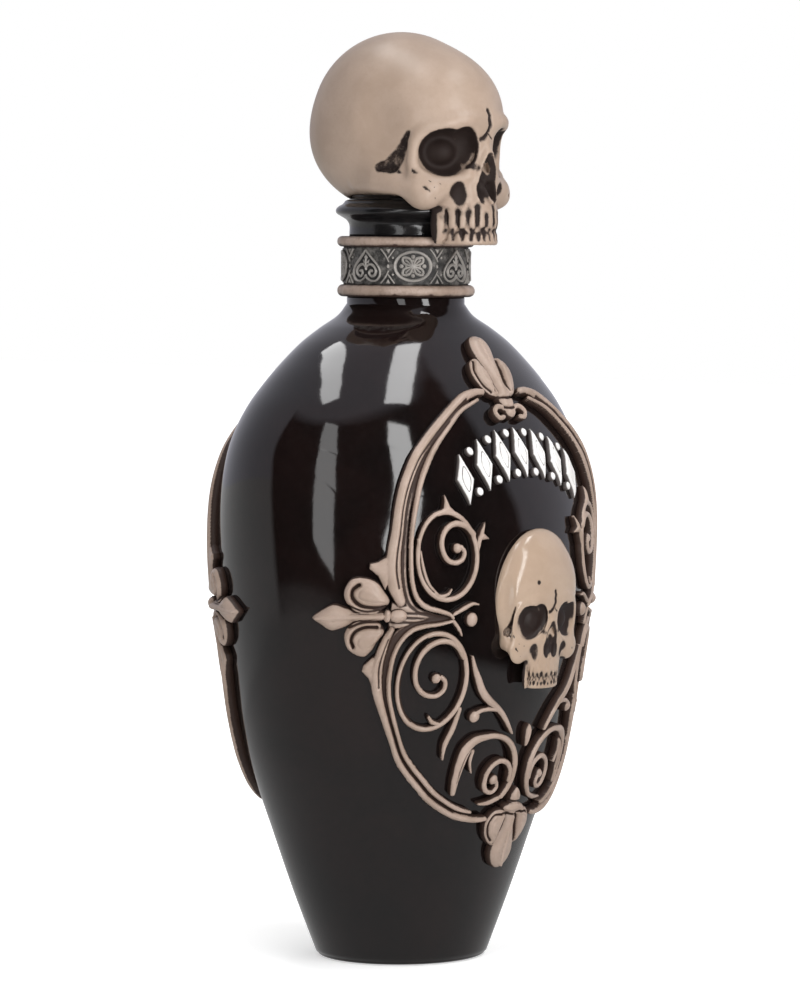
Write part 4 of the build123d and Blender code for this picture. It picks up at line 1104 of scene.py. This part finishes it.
class Clay:
    """A grid of distances to a surface, negative inside, and of how dark the surface is there."""

    def __init__(self, low, high, step):
        self.low, self.step = np.array(low, float), step
        self.axes = [np.arange(a, b + step, step) for a, b in zip(low, high)]
        shape = [len(axis) for axis in self.axes]
        self.value = np.full(shape, FAR, np.float32)
        self.dark = np.zeros(shape, np.float32)

    def near(self, shape, margin):
        """The part of the grid round a shape, and the distances to the shape there."""
        gap, low, high = shape
        spans = []
        for axis, a, b in zip(self.axes, low, high):
            i, j = np.searchsorted(axis, (a - margin, b + margin))
            spans.append(slice(max(i - 1, 0), min(j + 1, len(axis))))
        places = [axis[span] for axis, span in zip(self.axes, spans)]
        x, y, z = places[0][:, None, None], places[1][None, :, None], places[2][None, None, :]
        return tuple(spans), np.asarray(gap(x, y, z), np.float32)

    def add(self, shape, soft=1.0):
        """Joins a shape on, rounding the join by soft."""
        win, gap = self.near(shape, 3 + soft)
        old = self.value[win]
        over = np.maximum(soft - np.abs(old - gap), 0) / soft
        self.value[win] = np.minimum(old, gap) - over * over * soft / 4

    def cut(self, shape, soft, dark=0.0):
        """Takes a shape away, rounding the edge by soft and darkening what is laid bare."""
        win, gap = self.near(shape, 2 + soft)
        old = self.value[win]
        over = np.maximum(soft - np.abs(old + gap), 0) / soft
        self.value[win] = np.maximum(old, -gap) + over * over * soft / 4
        if dark:
            self.dark[win] = np.maximum(self.dark[win], dark * np.clip(1.05 - gap / 0.45, 0, 1))

    def darken(self, shape, dark, fade):
        """Darkens what lies in a shape."""
        win, gap = self.near(shape, 2)
        self.dark[win] = np.maximum(self.dark[win], dark * np.clip(0.5 - gap / fade, 0, 1))

    def pair(self, action, shape, *how):
        """The same action on both sides."""
        action(shape, *how)
        action(flip_x(shape), *how)

    def sample(self, field, points):
        """A field's values at points between the grid's."""
        at = (points - self.low) / self.step
        base = np.clip(np.floor(at).astype(int), 0, np.array(field.shape) - 2)
        f = at - base
        total = 0
        for i in (0, 1):
            for j in (0, 1):
                for k in (0, 1):
                    weight = (f[:, 0] if i else 1 - f[:, 0]) * (f[:, 1] if j else 1 - f[:, 1])
                    weight = weight * (f[:, 2] if k else 1 - f[:, 2])
                    total = total + weight * field[base[:, 0] + i, base[:, 1] + j, base[:, 2] + k]
        return total

    def slopes(self, points):
        found = []
        for shift in 0.5 * self.step * np.eye(3):
            more, less = self.sample(self.value, points + shift), self.sample(self.value, points - shift)
            found.append((more - less) / self.step)
        return np.stack(found, -1)

    def skin(self):
        """Points and four-sided faces of the zero surface."""
        v = self.value
        v[[0, -1]], v[:, [0, -1]], v[:, :, [0, -1]] = FAR, FAR, FAR
        inside = v < 0
        cells = np.zeros(np.array(v.shape) - 1, bool)
        total = np.zeros((*cells.shape, 3))
        count = np.zeros(cells.shape)
        corners = [np.array((i, j, k)) for k in (0, 1) for j in (0, 1) for i in (0, 1)]
        size = cells.shape

        def at(field, c):
            return field[c[0]:c[0] + size[0], c[1]:c[1] + size[1], c[2]:c[2] + size[2]]

        for axis in range(3):
            for c in corners:
                if c[axis]:
                    continue
                d = c.copy()
                d[axis] = 1
                a, b = at(v, c), at(v, d)
                crossing = at(inside, c) != at(inside, d)
                t = np.where(crossing, a / np.where(crossing, a - b, 1), 0)
                for k in range(3):
                    total[..., k] += np.where(crossing, c[k] + (t if k == axis else 0), 0)
                count += crossing
                cells |= crossing
        ids = np.full(size, -1)
        ids[cells] = np.arange(cells.sum())
        where = np.argwhere(cells)
        points = self.low + (where + total[cells] / count[cells][:, None]) * self.step
        faces = []
        for axis in range(3):
            u, w = (axis + 1) % 3, (axis + 2) % 3
            a = np.moveaxis(inside, (axis, u, w), (0, 1, 2))
            g = np.moveaxis(ids, (axis, u, w), (0, 1, 2))
            change = a[:-1, 1:-1, 1:-1] != a[1:, 1:-1, 1:-1]
            quad = np.stack([g[:, :-1, :-1], g[:, 1:, :-1], g[:, 1:, 1:], g[:, :-1, 1:]], -1)[change]
            outward = a[:-1, 1:-1, 1:-1][change]
            quad[~outward] = quad[~outward][:, ::-1]
            faces.append(quad)
        for _ in range(3):
            slope = self.slopes(points)
            length = np.maximum((slope**2).sum(-1), 0.2)
            move = self.sample(self.value, points) / length
            points = points - slope * np.clip(move, -0.3 * self.step, 0.3 * self.step)[:, None]
        return points, np.concatenate(faces)


# The mouth is a part of an oval round this place on the middle plane
MOUTH_MIDDLE, MOUTH_SWEEP, UPPER_TEETH, LOWER_TEETH = -15.2, 168, 9, 12
EYE_TURN = -31


def round_mouth(turn, radii):
    return radii[0] * math.cos(turn), MOUTH_MIDDLE + radii[1] * math.sin(turn)


def teeth(clay, radii, count, low, high, wide, deep, root_top=None):
    """A row of teeth round the front of the jaw, with roots up to a height."""
    for i in range(count):
        turn = math.radians(-90 + MOUTH_SWEEP * ((i + 0.5) / count - 0.5))
        x, y = round_mouth(turn, radii)
        face = math.degrees(math.atan2(math.sin(turn) / radii[1], math.cos(turn) / radii[0])) + 90
        size = 1 - 0.12 * abs(math.sin(3 * i + 1))
        clay.add(egg((x, y, (low + high) / 2), (wide * size, deep, (high - low) / 2), face), 0.35)
        if root_top:
            out = y - MOUTH_MIDDLE
            start = (0.97 * x, MOUTH_MIDDLE + 0.97 * out, high - 0.5)
            end = (0.93 * x, MOUTH_MIDDLE + 0.92 * out, root_top)
            clay.add(limb([start, end], (0.62 * wide, 0.3 * wide)), 0.8)


def tooth_gaps(clay, carve):
    """Uneven cuts between the teeth, as far up as carve says, and a zigzag where the rows meet."""
    for low, high, count, swing in ((152.3, 156.4, UPPER_TEETH, 1.0), (150.5, 152.2, LOWER_TEETH, 0.35)):
        upper = count == UPPER_TEETH
        for i in range(count + 1):
            turn = math.radians(-90 + MOUTH_SWEEP * (i / count - 0.5) + 1.6 * math.sin(5 * i + count))
            top = low + carve * (high + swing * math.sin(2.6 * i + 0.7) - low)
            wide = 0.8 + 0.35 * math.sin(4.1 * i + count)
            radii = (0.08 + 0.16 * wide, 0.4 * wide) if upper else (0.14, 0.48 * wide)
            x, y = round_mouth(turn, (6.6, 7.05))
            clay.cut(limb([(*round_mouth(turn, (6.85, 7.3)), low), (x, y, top)], radii), 0.2, 1.0)
            if upper:
                clay.darken(egg((x, y - 0.2, top), (0.75, 0.9, 1.0)), 0.75, 0.9)
    bite, swing, last = 152.3, 0.22, 35
    turns = [math.radians(-176 + 172 * min(k, last) / last) for k in range(last + 2)]
    spots = [round_mouth(turn, (6.95, 7.35)) for turn in turns]
    for k, (start, end) in enumerate(zip(spots, spots[1:])):
        lift = swing if k % 2 else -swing
        clay.cut(limb([(*start, bite + lift), (*end, bite - lift)], (0.3, 0.3)), 0.2, 0.95)


def seat_cone():
    """The hollow over the lip: upright beside it, then following its slope to its top."""
    wide, top = 15.5, 159.0

    def gap(x, y, z):
        r = np.sqrt(x * x + y * y)
        reach = np.interp(z, (157.2, 158.3, top), (SEAT_RADIUS, 13.9, 13.0))
        return np.maximum(r - reach, z - top + PLAY)

    return gap, np.array([-wide, -wide, SKULL_LOW - 3]), np.array([wide, wide, top])


def hollow_seat(clay):
    """Cuts the skull's hollows for the lip, the stopper's collar and the dowel."""
    collar_hole, dowel_hole = COLLAR_RADIUS + PLAY, 2.05
    clay.cut(seat_cone(), 0.2)
    clay.cut(stub((0, 0), (collar_hole, collar_hole), SKULL_LOW - 3, COLLAR_TOP + PLAY), 0.1)
    clay.cut(stub((0, 0), (dowel_hole, dowel_hole), SKULL_LOW, COLLAR_TOP + 12.1), 0.1)


def skull_clay(step, back, carve=1.0):
    """The skull on a grid that ends at back."""
    clay = Clay((-18.6, -25.2, 148.4), (18.6, back, 194.8), step)
    clay.add(egg((0, 1.6, 175.0), (17.2, 19.5, 18.8)))
    clay.add(egg((0, 5.4, 171.4), (14.4, 15.8, 13.0)), 3.5)
    clay.add(egg((0, -6.9, 175.6), (15.2, 14.5, 14.7)), 2.2)
    clay.add(egg((0, -16.6, 174.6), (5.6, 4.6, 4.0)), 3.0)
    clay.add(egg((0, -4.6, 164.6), (15.3, 13.4, 6.9)), 2.5)
    clay.pair(clay.cut, egg((-20.6, -7.8, 174.4), (4.6, 6.5, 8.0)), 3.5)
    # Nose, upper jaw and cheeks
    clay.add(egg((0, -14.4, 160.4), (8.4, 6.9, 6.8)), 2.0)
    clay.pair(clay.add, egg((-10.9, -13.5, 160.3), (4.1, 3.9, 3.7)), 2.0)
    cheekbone = [
        (-6.5, -18.0, 162.0), (-10.4, -16.0, 161.2), (-13.2, -13.2, 161.0), (-14.2, -9.0, 161.4),
        (-14.0, -3.0, 161.8), (-12.0, 3.0, 162.0),
    ]
    clay.pair(clay.add, limb(cheekbone, (1.3, 1.7, 1.9, 1.6, 1.4, 1.0)), 2.4)
    clay.pair(clay.add, egg((-12.4, -14.2, 159.4), (2.3, 2.6, 2.1)), 1.2)
    brow = [
        (-1.8, -20.4, 174.5), (-3.8, -20.5, 175.0), (-5.8, -20.1, 175.1), (-7.5, -19.2, 174.9),
        (-9.1, -17.9, 174.5), (-10.5, -16.3, 173.9), (-11.7, -14.6, 173.0), (-12.9, -13.5, 171.8),
        (-13.5, -12.8, 170.3), (-13.7, -12.6, 168.5), (-13.7, -12.4, 166.5), (-13.1, -12.7, 164.2),
    ]
    clay.pair(clay.add, limb(brow, (1.1, 1.35, 1.45, 1.5, 1.5, 1.45, 1.4, 1.3, 1.25, 1.2, 1.25, 1.4)), 1.4)
    clay.add(limb([(0, -19.2, 172.4), (0, -20.4, 170.0), (0, -21.7, 167.6)], (1.7, 1.35, 1.0)), 1.3)
    nose_edge = [(-0.8, -21.3, 168.0), (-2.1, -21.2, 165.2), (-3.0, -20.4, 161.6), (-2.6, -21.0, 158.9)]
    clay.pair(clay.add, limb(nose_edge, (0.8, 0.75, 0.8, 0.8)), 1.0)
    inner_edge = [(-1.8, -20.2, 170.8), (-2.8, -20.2, 167.6), (-4.4, -19.4, 164.0)]
    clay.pair(clay.add, limb(inner_edge, (0.8, 0.8, 1.0)), 1.2)
    lower_edge = [(-4.2, -19.6, 163.4), (-7.6, -17.6, 162.6), (-10.6, -15.6, 162.6), (-13.0, -13.9, 163.8)]
    clay.pair(clay.add, limb(lower_edge, (0.8, 0.8, 0.9, 1.0)), 1.2)
    clay.add(egg((0, -15.6, 156.6), (6.9, 6.6, 3.2)), 1.2)
    # Eye sockets with a dome in each, the nose opening and the temples
    clay.pair(clay.cut, egg((-9.0, -17.6, 168.5), (5.6, 5.4, 4.75), EYE_TURN), 0.6, 1.0)
    clay.pair(clay.cut, egg((-5.7, -20.0, 169.4), (3.2, 4.4, 4.2), EYE_TURN), 0.8, 1.0)
    clay.pair(clay.add, egg((-6.2, -13.5, 168.5), (3.3, 2.8, 2.9), EYE_TURN), 1.3)
    clay.pair(clay.add, egg((-6.8, -15.0, 168.5), (1.8, 1.7, 1.7), EYE_TURN), 0.9)
    clay.pair(clay.cut, limb([(-5.2, -20.3, 167.2), (-3.5, -21.4, 165.5)], (0.95, 0.75)), 0.4, 0.9)
    clay.cut(egg((0, -23.7, 163.2), (1.55, 4.3, 3.8)), 0.4, 1.0)
    clay.pair(clay.cut, egg((-1.6, -22.5, 160.7), (1.4, 3.5, 2.5), 8), 0.5, 1.0)
    nose = [(0, -22.5, 167.4), (-0.5, -22.1, 165.3), (-1.0, -21.8, 162.6)]
    clay.pair(clay.cut, limb(nose, (1.0, 1.5, 1.6)), 0.3, 1.0)
    septum = [(0, -19.6, 162.4), (0, -20.8, 160.6), (0, -22.0, 158.6), (0, -22.7, 158.2)]
    clay.add(limb(septum, (0.4, 0.36, 0.45, 0.4)), 0.4)
    temple = [(-13.9, -11.5, 172.4), (-14.2, -10.3, 169.6), (-14.5, -8.6, 166.9), (-14.7, -7.8, 165.9)]
    clay.pair(clay.cut, limb(temple, (0.4, 0.95, 1.5, 1.7)), 0.3, 0.78)
    clay.pair(clay.cut, limb([(-14.7, -7.8, 165.8), (-15.0, -4.8, 165.3)], (1.5, 0.85)), 0.3, 0.7)
    clay.pair(clay.cut, egg((-7.3, -20.1, 159.5), (2.1, 2.2, 3.0), EYE_TURN), 0.5, 0.9)
    clay.pair(clay.cut, limb([(-4.7, -21.0, 158.6), (-5.4, -20.6, 156.9)], (0.5, 0.35)), 0.4, 0.8)
    # Teeth over a block that the seat is cut from
    clay.add(stub((0, MOUTH_MIDDLE), (5.9, 6.5), 149.7, 157.6), 0.6)
    clay.pair(clay.add, egg((-6.7, -13.2, 153.6), (1.7, 2.4, 4.4)), 1.2)
    teeth(clay, (6.1, 6.5), UPPER_TEETH, 152.2, 156.6, 1.2, 0.85, 158.0)
    teeth(clay, (6.05, 6.4), LOWER_TEETH, 149.6, 152.5, 0.85, 0.8)
    jaw_edge = [(*round_mouth(turn, (6.3, 6.8)), 150.0) for turn in np.radians(np.linspace(-176, -4, 14))]
    clay.add(limb(jaw_edge, [0.5] * len(jaw_edge)), 0.6)
    tooth_gaps(clay, carve)
    clay.pair(clay.darken, egg((-8.3, -12.4, 153.2), (2.0, 2.3, 5.8)), 1.0, 0.4)
    clay.pair(clay.darken, egg((-8.9, -13.0, 156.8), (2.4, 3.4, 1.2)), 0.9, 0.7)
    # Painted shade round the skull's lower edge, where it sits over the lip
    clay.darken(stub((0, 0), (13.4, 13.4), 157.0, 160.2), 0.6, 1.6)
    clay.darken(egg((2.1, -21.7, 165.0), (0.9, 1.1, 1.5)), 0.4, 1.2)
    clay.pair(clay.darken, egg((-7.2, -15.2, 156.4), (1.1, 1.4, 2.8)), 0.45, 1.4)
    return clay


def draw(points, normals, wash, line, width, depth, dark=1.0):
    """Scores a line of (x, z) into the skull's face."""
    gap = np.full(len(points), FAR)
    for (x0, z0), (x1, z1) in zip(line, line[1:]):
        across, up, x, z = x1 - x0, z1 - z0, points[:, 0] - x0, points[:, 2] - z0
        t = np.clip((x * across + z * up) / (across**2 + up**2), 0, 1)
        gap = np.minimum(gap, np.hypot(x - t * across, z - t * up))
    faces_forward = normals[:, 1] < -0.15
    gap = np.where(faces_forward, gap, FAR)
    hit = np.exp(-((gap / width) ** 2))
    points -= normals * (depth * hit)[:, None]
    np.maximum(wash, dark * np.exp(-((gap / (1.15 * width)) ** 4)), out=wash)


def skull_skin(clay):
    """The skull's surface with its cracks and chips, and wash that gathers in its hollows."""
    points, faces = clay.skin()
    broad, fine = [
        -clay.sample(blur(np.clip(clay.value, -limit, limit), radius, clay.step), points)
        for limit, radius in ((1.6, 1.1), (0.9, 0.5))
    ]
    wash = np.clip(1.5 * (broad - 0.16), -0.3, 0.8) + np.clip(2.6 * (fine - 0.07), -0.1, 0.6)
    wash = np.maximum(wash, 1.15 * clay.sample(clay.dark, points))
    normals = clay.slopes(points)
    normals /= np.maximum(np.linalg.norm(normals, axis=-1, keepdims=True), 1e-6)
    crack = [
        (-0.1, 177.2), (0.3, 176.2), (0.05, 175.2), (0.35, 174.0), (0.05, 173.0), (-0.5, 172.1),
        (-1.2, 171.5), (-1.9, 171.2),
    ]
    draw(points, normals, wash, crack, 0.55, 0.6)
    draw(points, normals, wash, [(0.1, 172.6), (0.8, 171.8), (1.6, 171.4)], 0.26, 0.25, 0.8)
    chips = (
        ([(-14.2, 161.3), (-14.0, 160.9)], 0.3), ([(-13.6, 160.7), (-13.5, 160.4)], 0.2),
        ([(-13.0, 162.6), (-12.9, 162.4)], 0.13), ([(-11.2, 162.0), (-11.0, 161.9)], 0.16),
        ([(-12.6, 161.3), (-12.4, 161.3)], 0.12), ([(-12.2, 159.0), (-12.1, 158.9)], 0.15),
        ([(-14.6, 164.8), (-14.4, 164.3)], 0.26), ([(12.4, 160.0), (12.7, 159.6)], 0.22),
        ([(13.8, 161.1), (14.0, 160.9)], 0.16),
    )
    for line, size in chips:
        draw(points, normals, wash, line, size, 0.8 * size, 0.9)
    return points, faces, wash


def skulls():
    """The stopper's skull, and the badges: the same skull without its back, flattened and leaning."""
    fine = 0.3
    clay = skull_clay(fine, 22.0)
    hollow_seat(clay)
    points, faces, wash = skull_skin(clay)
    piece("skull", points, faces, "stopper", skull_bone, "skull_finial", wash)
    points, faces, wash = skull_skin(skull_clay(fine + 0.06, 3.6, 0.25))
    x, y, z = points.T
    spot = np.hypot(x + 7.2, z - 179.8)
    wash = np.maximum(wash, np.exp(-((spot / 0.75) ** 4)) * (y < -8))
    tall, lean, bottom = 32.4, math.radians(6.0), 59.0
    x, y = x * (12.5 / 17.6), y * (5.3 / 21.2)
    z = (z - SKULL_LOW) * (tall / (SKULL_TOP - SKULL_LOW)) - tall / 2
    y, z = y * math.cos(lean) - z * math.sin(lean), tall / 2 + y * math.sin(lean) + z * math.cos(lean)
    placed = np.stack([x, y + 1.0 - BODY_HALF_DEPTH, z + bottom], -1)
    for side, turn in PANEL_TURN.items():
        name, points = side + "_skull", placed * (turn, turn, 1)
        piece(name + "_relief", points, faces, "bottle", badge_bone, name + "_badge", wash)


def keep(material, *nodes):
    """Solid nodes whose shape stays, with a detailed finish."""
    for name in nodes:
        shown = frame["nodes"][name]
        shown.data.materials.clear()
        shown.data.materials.append(material)
        for polygon in shown.data.polygons:
            polygon.material_index = 0


# The object


bottle()
neck()
rim()
side_fleur()
top_fleur()
bottom_fleur()
upper_scroll()
middle_scroll()
lower_scroll()
tendril()
accent_beads()
label_row()
band_hearts()
band_roundels()
band_chevrons()
skulls()
keep(felt, "base_pad")
keep(resin, "stopper_plug")
keep(rubber, "upper_seal", "lower_seal")
keep(steel, "finial_dowel")

# Camera, floor and light


def camera():
    """The photo's camera: focal length and place beside the axis in pixels, the rest in millimetres."""
    focal, beside, picture_height = 4729.0, 4.4, 997
    far, high, film = 993.0, 154.0, 36.0
    turn, pitch, roll = math.radians(51.3), math.radians(3.34), math.radians(0.38)
    back = Vector((-math.sin(turn), -math.cos(turn), 0))
    right = Vector((math.cos(turn), -math.sin(turn), 0))
    place = back * far + Vector((0, 0, high)) - right * (beside / focal * far)
    forward = -back * math.cos(pitch) - Vector((0, 0, 1)) * math.sin(pitch)
    up = right.cross(forward)
    across = right * math.cos(roll) + up * math.sin(roll)
    up = up * math.cos(roll) - right * math.sin(roll)
    data = bpy.data.cameras.new("camera")
    data.lens = focal * film / picture_height
    data.sensor_width = film
    data.clip_start, data.clip_end = 0.05, 50.0
    made = bpy.data.objects.new("camera", data)
    bpy.context.scene.collection.objects.link(made)
    spin = Matrix((across, up, -forward)).transposed().to_4x4()
    made.matrix_world = Matrix.Translation(place * MM) @ spin
    bpy.context.scene.camera = made


def area_light(name, place, size, power):
    """A lamp that shines straight down until it is turned."""
    data = bpy.data.lights.new(name, "AREA")
    data.shape = "RECTANGLE"
    data.size, data.size_y = size
    data.energy = power
    made = bpy.data.objects.new(name, data)
    bpy.context.scene.collection.objects.link(made)
    made.visible_camera = False
    made.location = place
    return made


def surround(tree, direction):
    """How bright the room is in a direction: dark behind the windows, pale beside and over them."""
    flat = vector_maths(tree, "MULTIPLY", direction, (1, 1, 0))["Vector"]
    even = vector_maths(tree, "NORMALIZE", flat)["Vector"]
    side = vector_maths(tree, "DOT_PRODUCT", even, (-0.61, -0.79, 0))["Value"]
    parts = tree.nodes.new("ShaderNodeSeparateXYZ")
    link(tree, direction, parts.inputs[0])
    beside = spread(tree, side, 0.62, 0.015, 0.09, 0.17)
    over = spread(tree, parts.outputs["Z"], 0.0, 0.6, 0.76, 0.84)
    return maths(tree, "MAXIMUM", beside, over)


def stage():
    """White paper: fully white to the camera far out, and to reflections as bright as the room."""
    half, steps = 3.0, 24
    row, places = steps + 1, [half * (2 * i / steps - 1) for i in range(steps + 1)]
    points = [(x, y, 0) for x in places for y in places]
    firsts = [i * row + j for i in range(steps) for j in range(steps)]
    faces = [(first, first + row, first + row + 1, first + 1) for first in firsts]
    data = bpy.data.meshes.new("floor")
    data.from_pydata(points, [], faces)
    floor = bpy.data.objects.new("floor", data)
    bpy.context.scene.collection.objects.link(floor)
    floor.location = (0, 0, -0.0002)
    material, tree, shader = nodes_of("floor_paper")
    shader.inputs["Base Color"].default_value = (0.9, 0.9, 0.9, 1)
    shader.inputs["Roughness"].default_value = 0.9
    shader.inputs["Specular IOR Level"].default_value = 0.1
    bump(tree, shader, noise(tree, 700, 2, 0.5), 0.00005, 0.2)
    place = tree.nodes.new("ShaderNodeTexCoord").outputs["Object"]
    away = vector_maths(tree, "LENGTH", place)["Value"]
    path = tree.nodes.new("ShaderNodeLightPath").outputs
    lift = tree.nodes.new("ShaderNodeEmission")
    far = spread(tree, away, 0.5, 1.0, 0.1, 0.8)
    link(tree, maths(tree, "MULTIPLY", path["Is Camera Ray"], far), lift.inputs["Strength"])
    paper = tree.nodes.new("ShaderNodeAddShader")
    link(tree, shader.outputs[0], paper.inputs[0])
    link(tree, lift.outputs[0], paper.inputs[1])
    mirrored = tree.nodes.new("ShaderNodeEmission")
    beyond = spread(tree, away, 0.0, 1.0, 0.23, 0.26)
    link(tree, between(tree, beyond, 0.48, surround(tree, place)), mirrored.inputs["Strength"])
    chosen = tree.nodes.new("ShaderNodeMixShader")
    link(tree, path["Is Glossy Ray"], chosen.inputs[0])
    link(tree, paper.outputs[0], chosen.inputs[1])
    link(tree, mirrored.outputs[0], chosen.inputs[2])
    link(tree, chosen.outputs[0], tree.nodes["Material Output"].inputs["Surface"])
    data.materials.append(material)


def world():
    """White to the camera, dim to the paints, and the room to reflections."""
    made = bpy.data.worlds.new("studio")
    bpy.context.scene.world = made
    made.use_nodes = True
    tree = made.node_tree
    ground = tree.nodes["Background"]
    path = tree.nodes.new("ShaderNodeLightPath").outputs
    direction = tree.nodes.new("ShaderNodeTexCoord").outputs["Generated"]
    level = between(tree, path["Is Glossy Ray"], 0.27, surround(tree, direction))
    seen = maths(tree, "MAXIMUM", path["Is Camera Ray"], path["Is Transmission Ray"])
    link(tree, maths(tree, "MAXIMUM", seen, level), ground.inputs["Strength"])
    tint = mix(tree, path["Is Glossy Ray"], (1, 1, 1), (0.95, 0.95, 1.06))
    link(tree, tint, ground.inputs["Color"])


def window(name, azimuth, middles, widths, radiance):
    """A tall window beside the bottle, in stretches; its middles are metres across and up."""
    turn, distance = math.radians(azimuth), 0.25
    out = Vector((math.sin(turn), -math.cos(turn), 0))
    across = Vector((-out.y, out.x, 0))
    ends = [out * distance + across * u + Vector((0, 0, z)) for u, z in middles]
    for i, (low, high, width) in enumerate(zip(ends, ends[1:], widths)):
        along = high - low
        power = math.pi * radiance * width * along.length
        made = area_light(f"{name}_{i + 1}", (low + high) / 2, (width, along.length), power)
        along.normalize()
        made.rotation_euler = Matrix((along.cross(out), along, out)).transposed().to_euler()


def skylight(name, place, size, power, turn):
    area_light(name, (*place, 1.5), size, power).rotation_euler.z = math.radians(turn)


camera()
stage()
world()
left_middles = [(-0.038, 0.026), (0.013, 0.12), (0.04, 0.215), (0.052, 0.395)]
right_middles = [(-0.068, 0.05), (-0.022, 0.1), (0.022, 0.175), (0.047, 0.26), (0.082, 0.358)]
window("window_left", -70, left_middles, [0.053, 0.06, 0.067], 3.0)
window("window_right", -20, right_middles, [0.05, 0.055, 0.056, 0.062], 8.5)
skylight("skylight_left", (-0.086, 0.339), (0.28, 1.25), 7.8, -36)
skylight("skylight_right", (0.378, -0.71), (0.38, 0.63), 6.5, -32)
bpy.context.scene.view_settings.view_transform = "Standard"
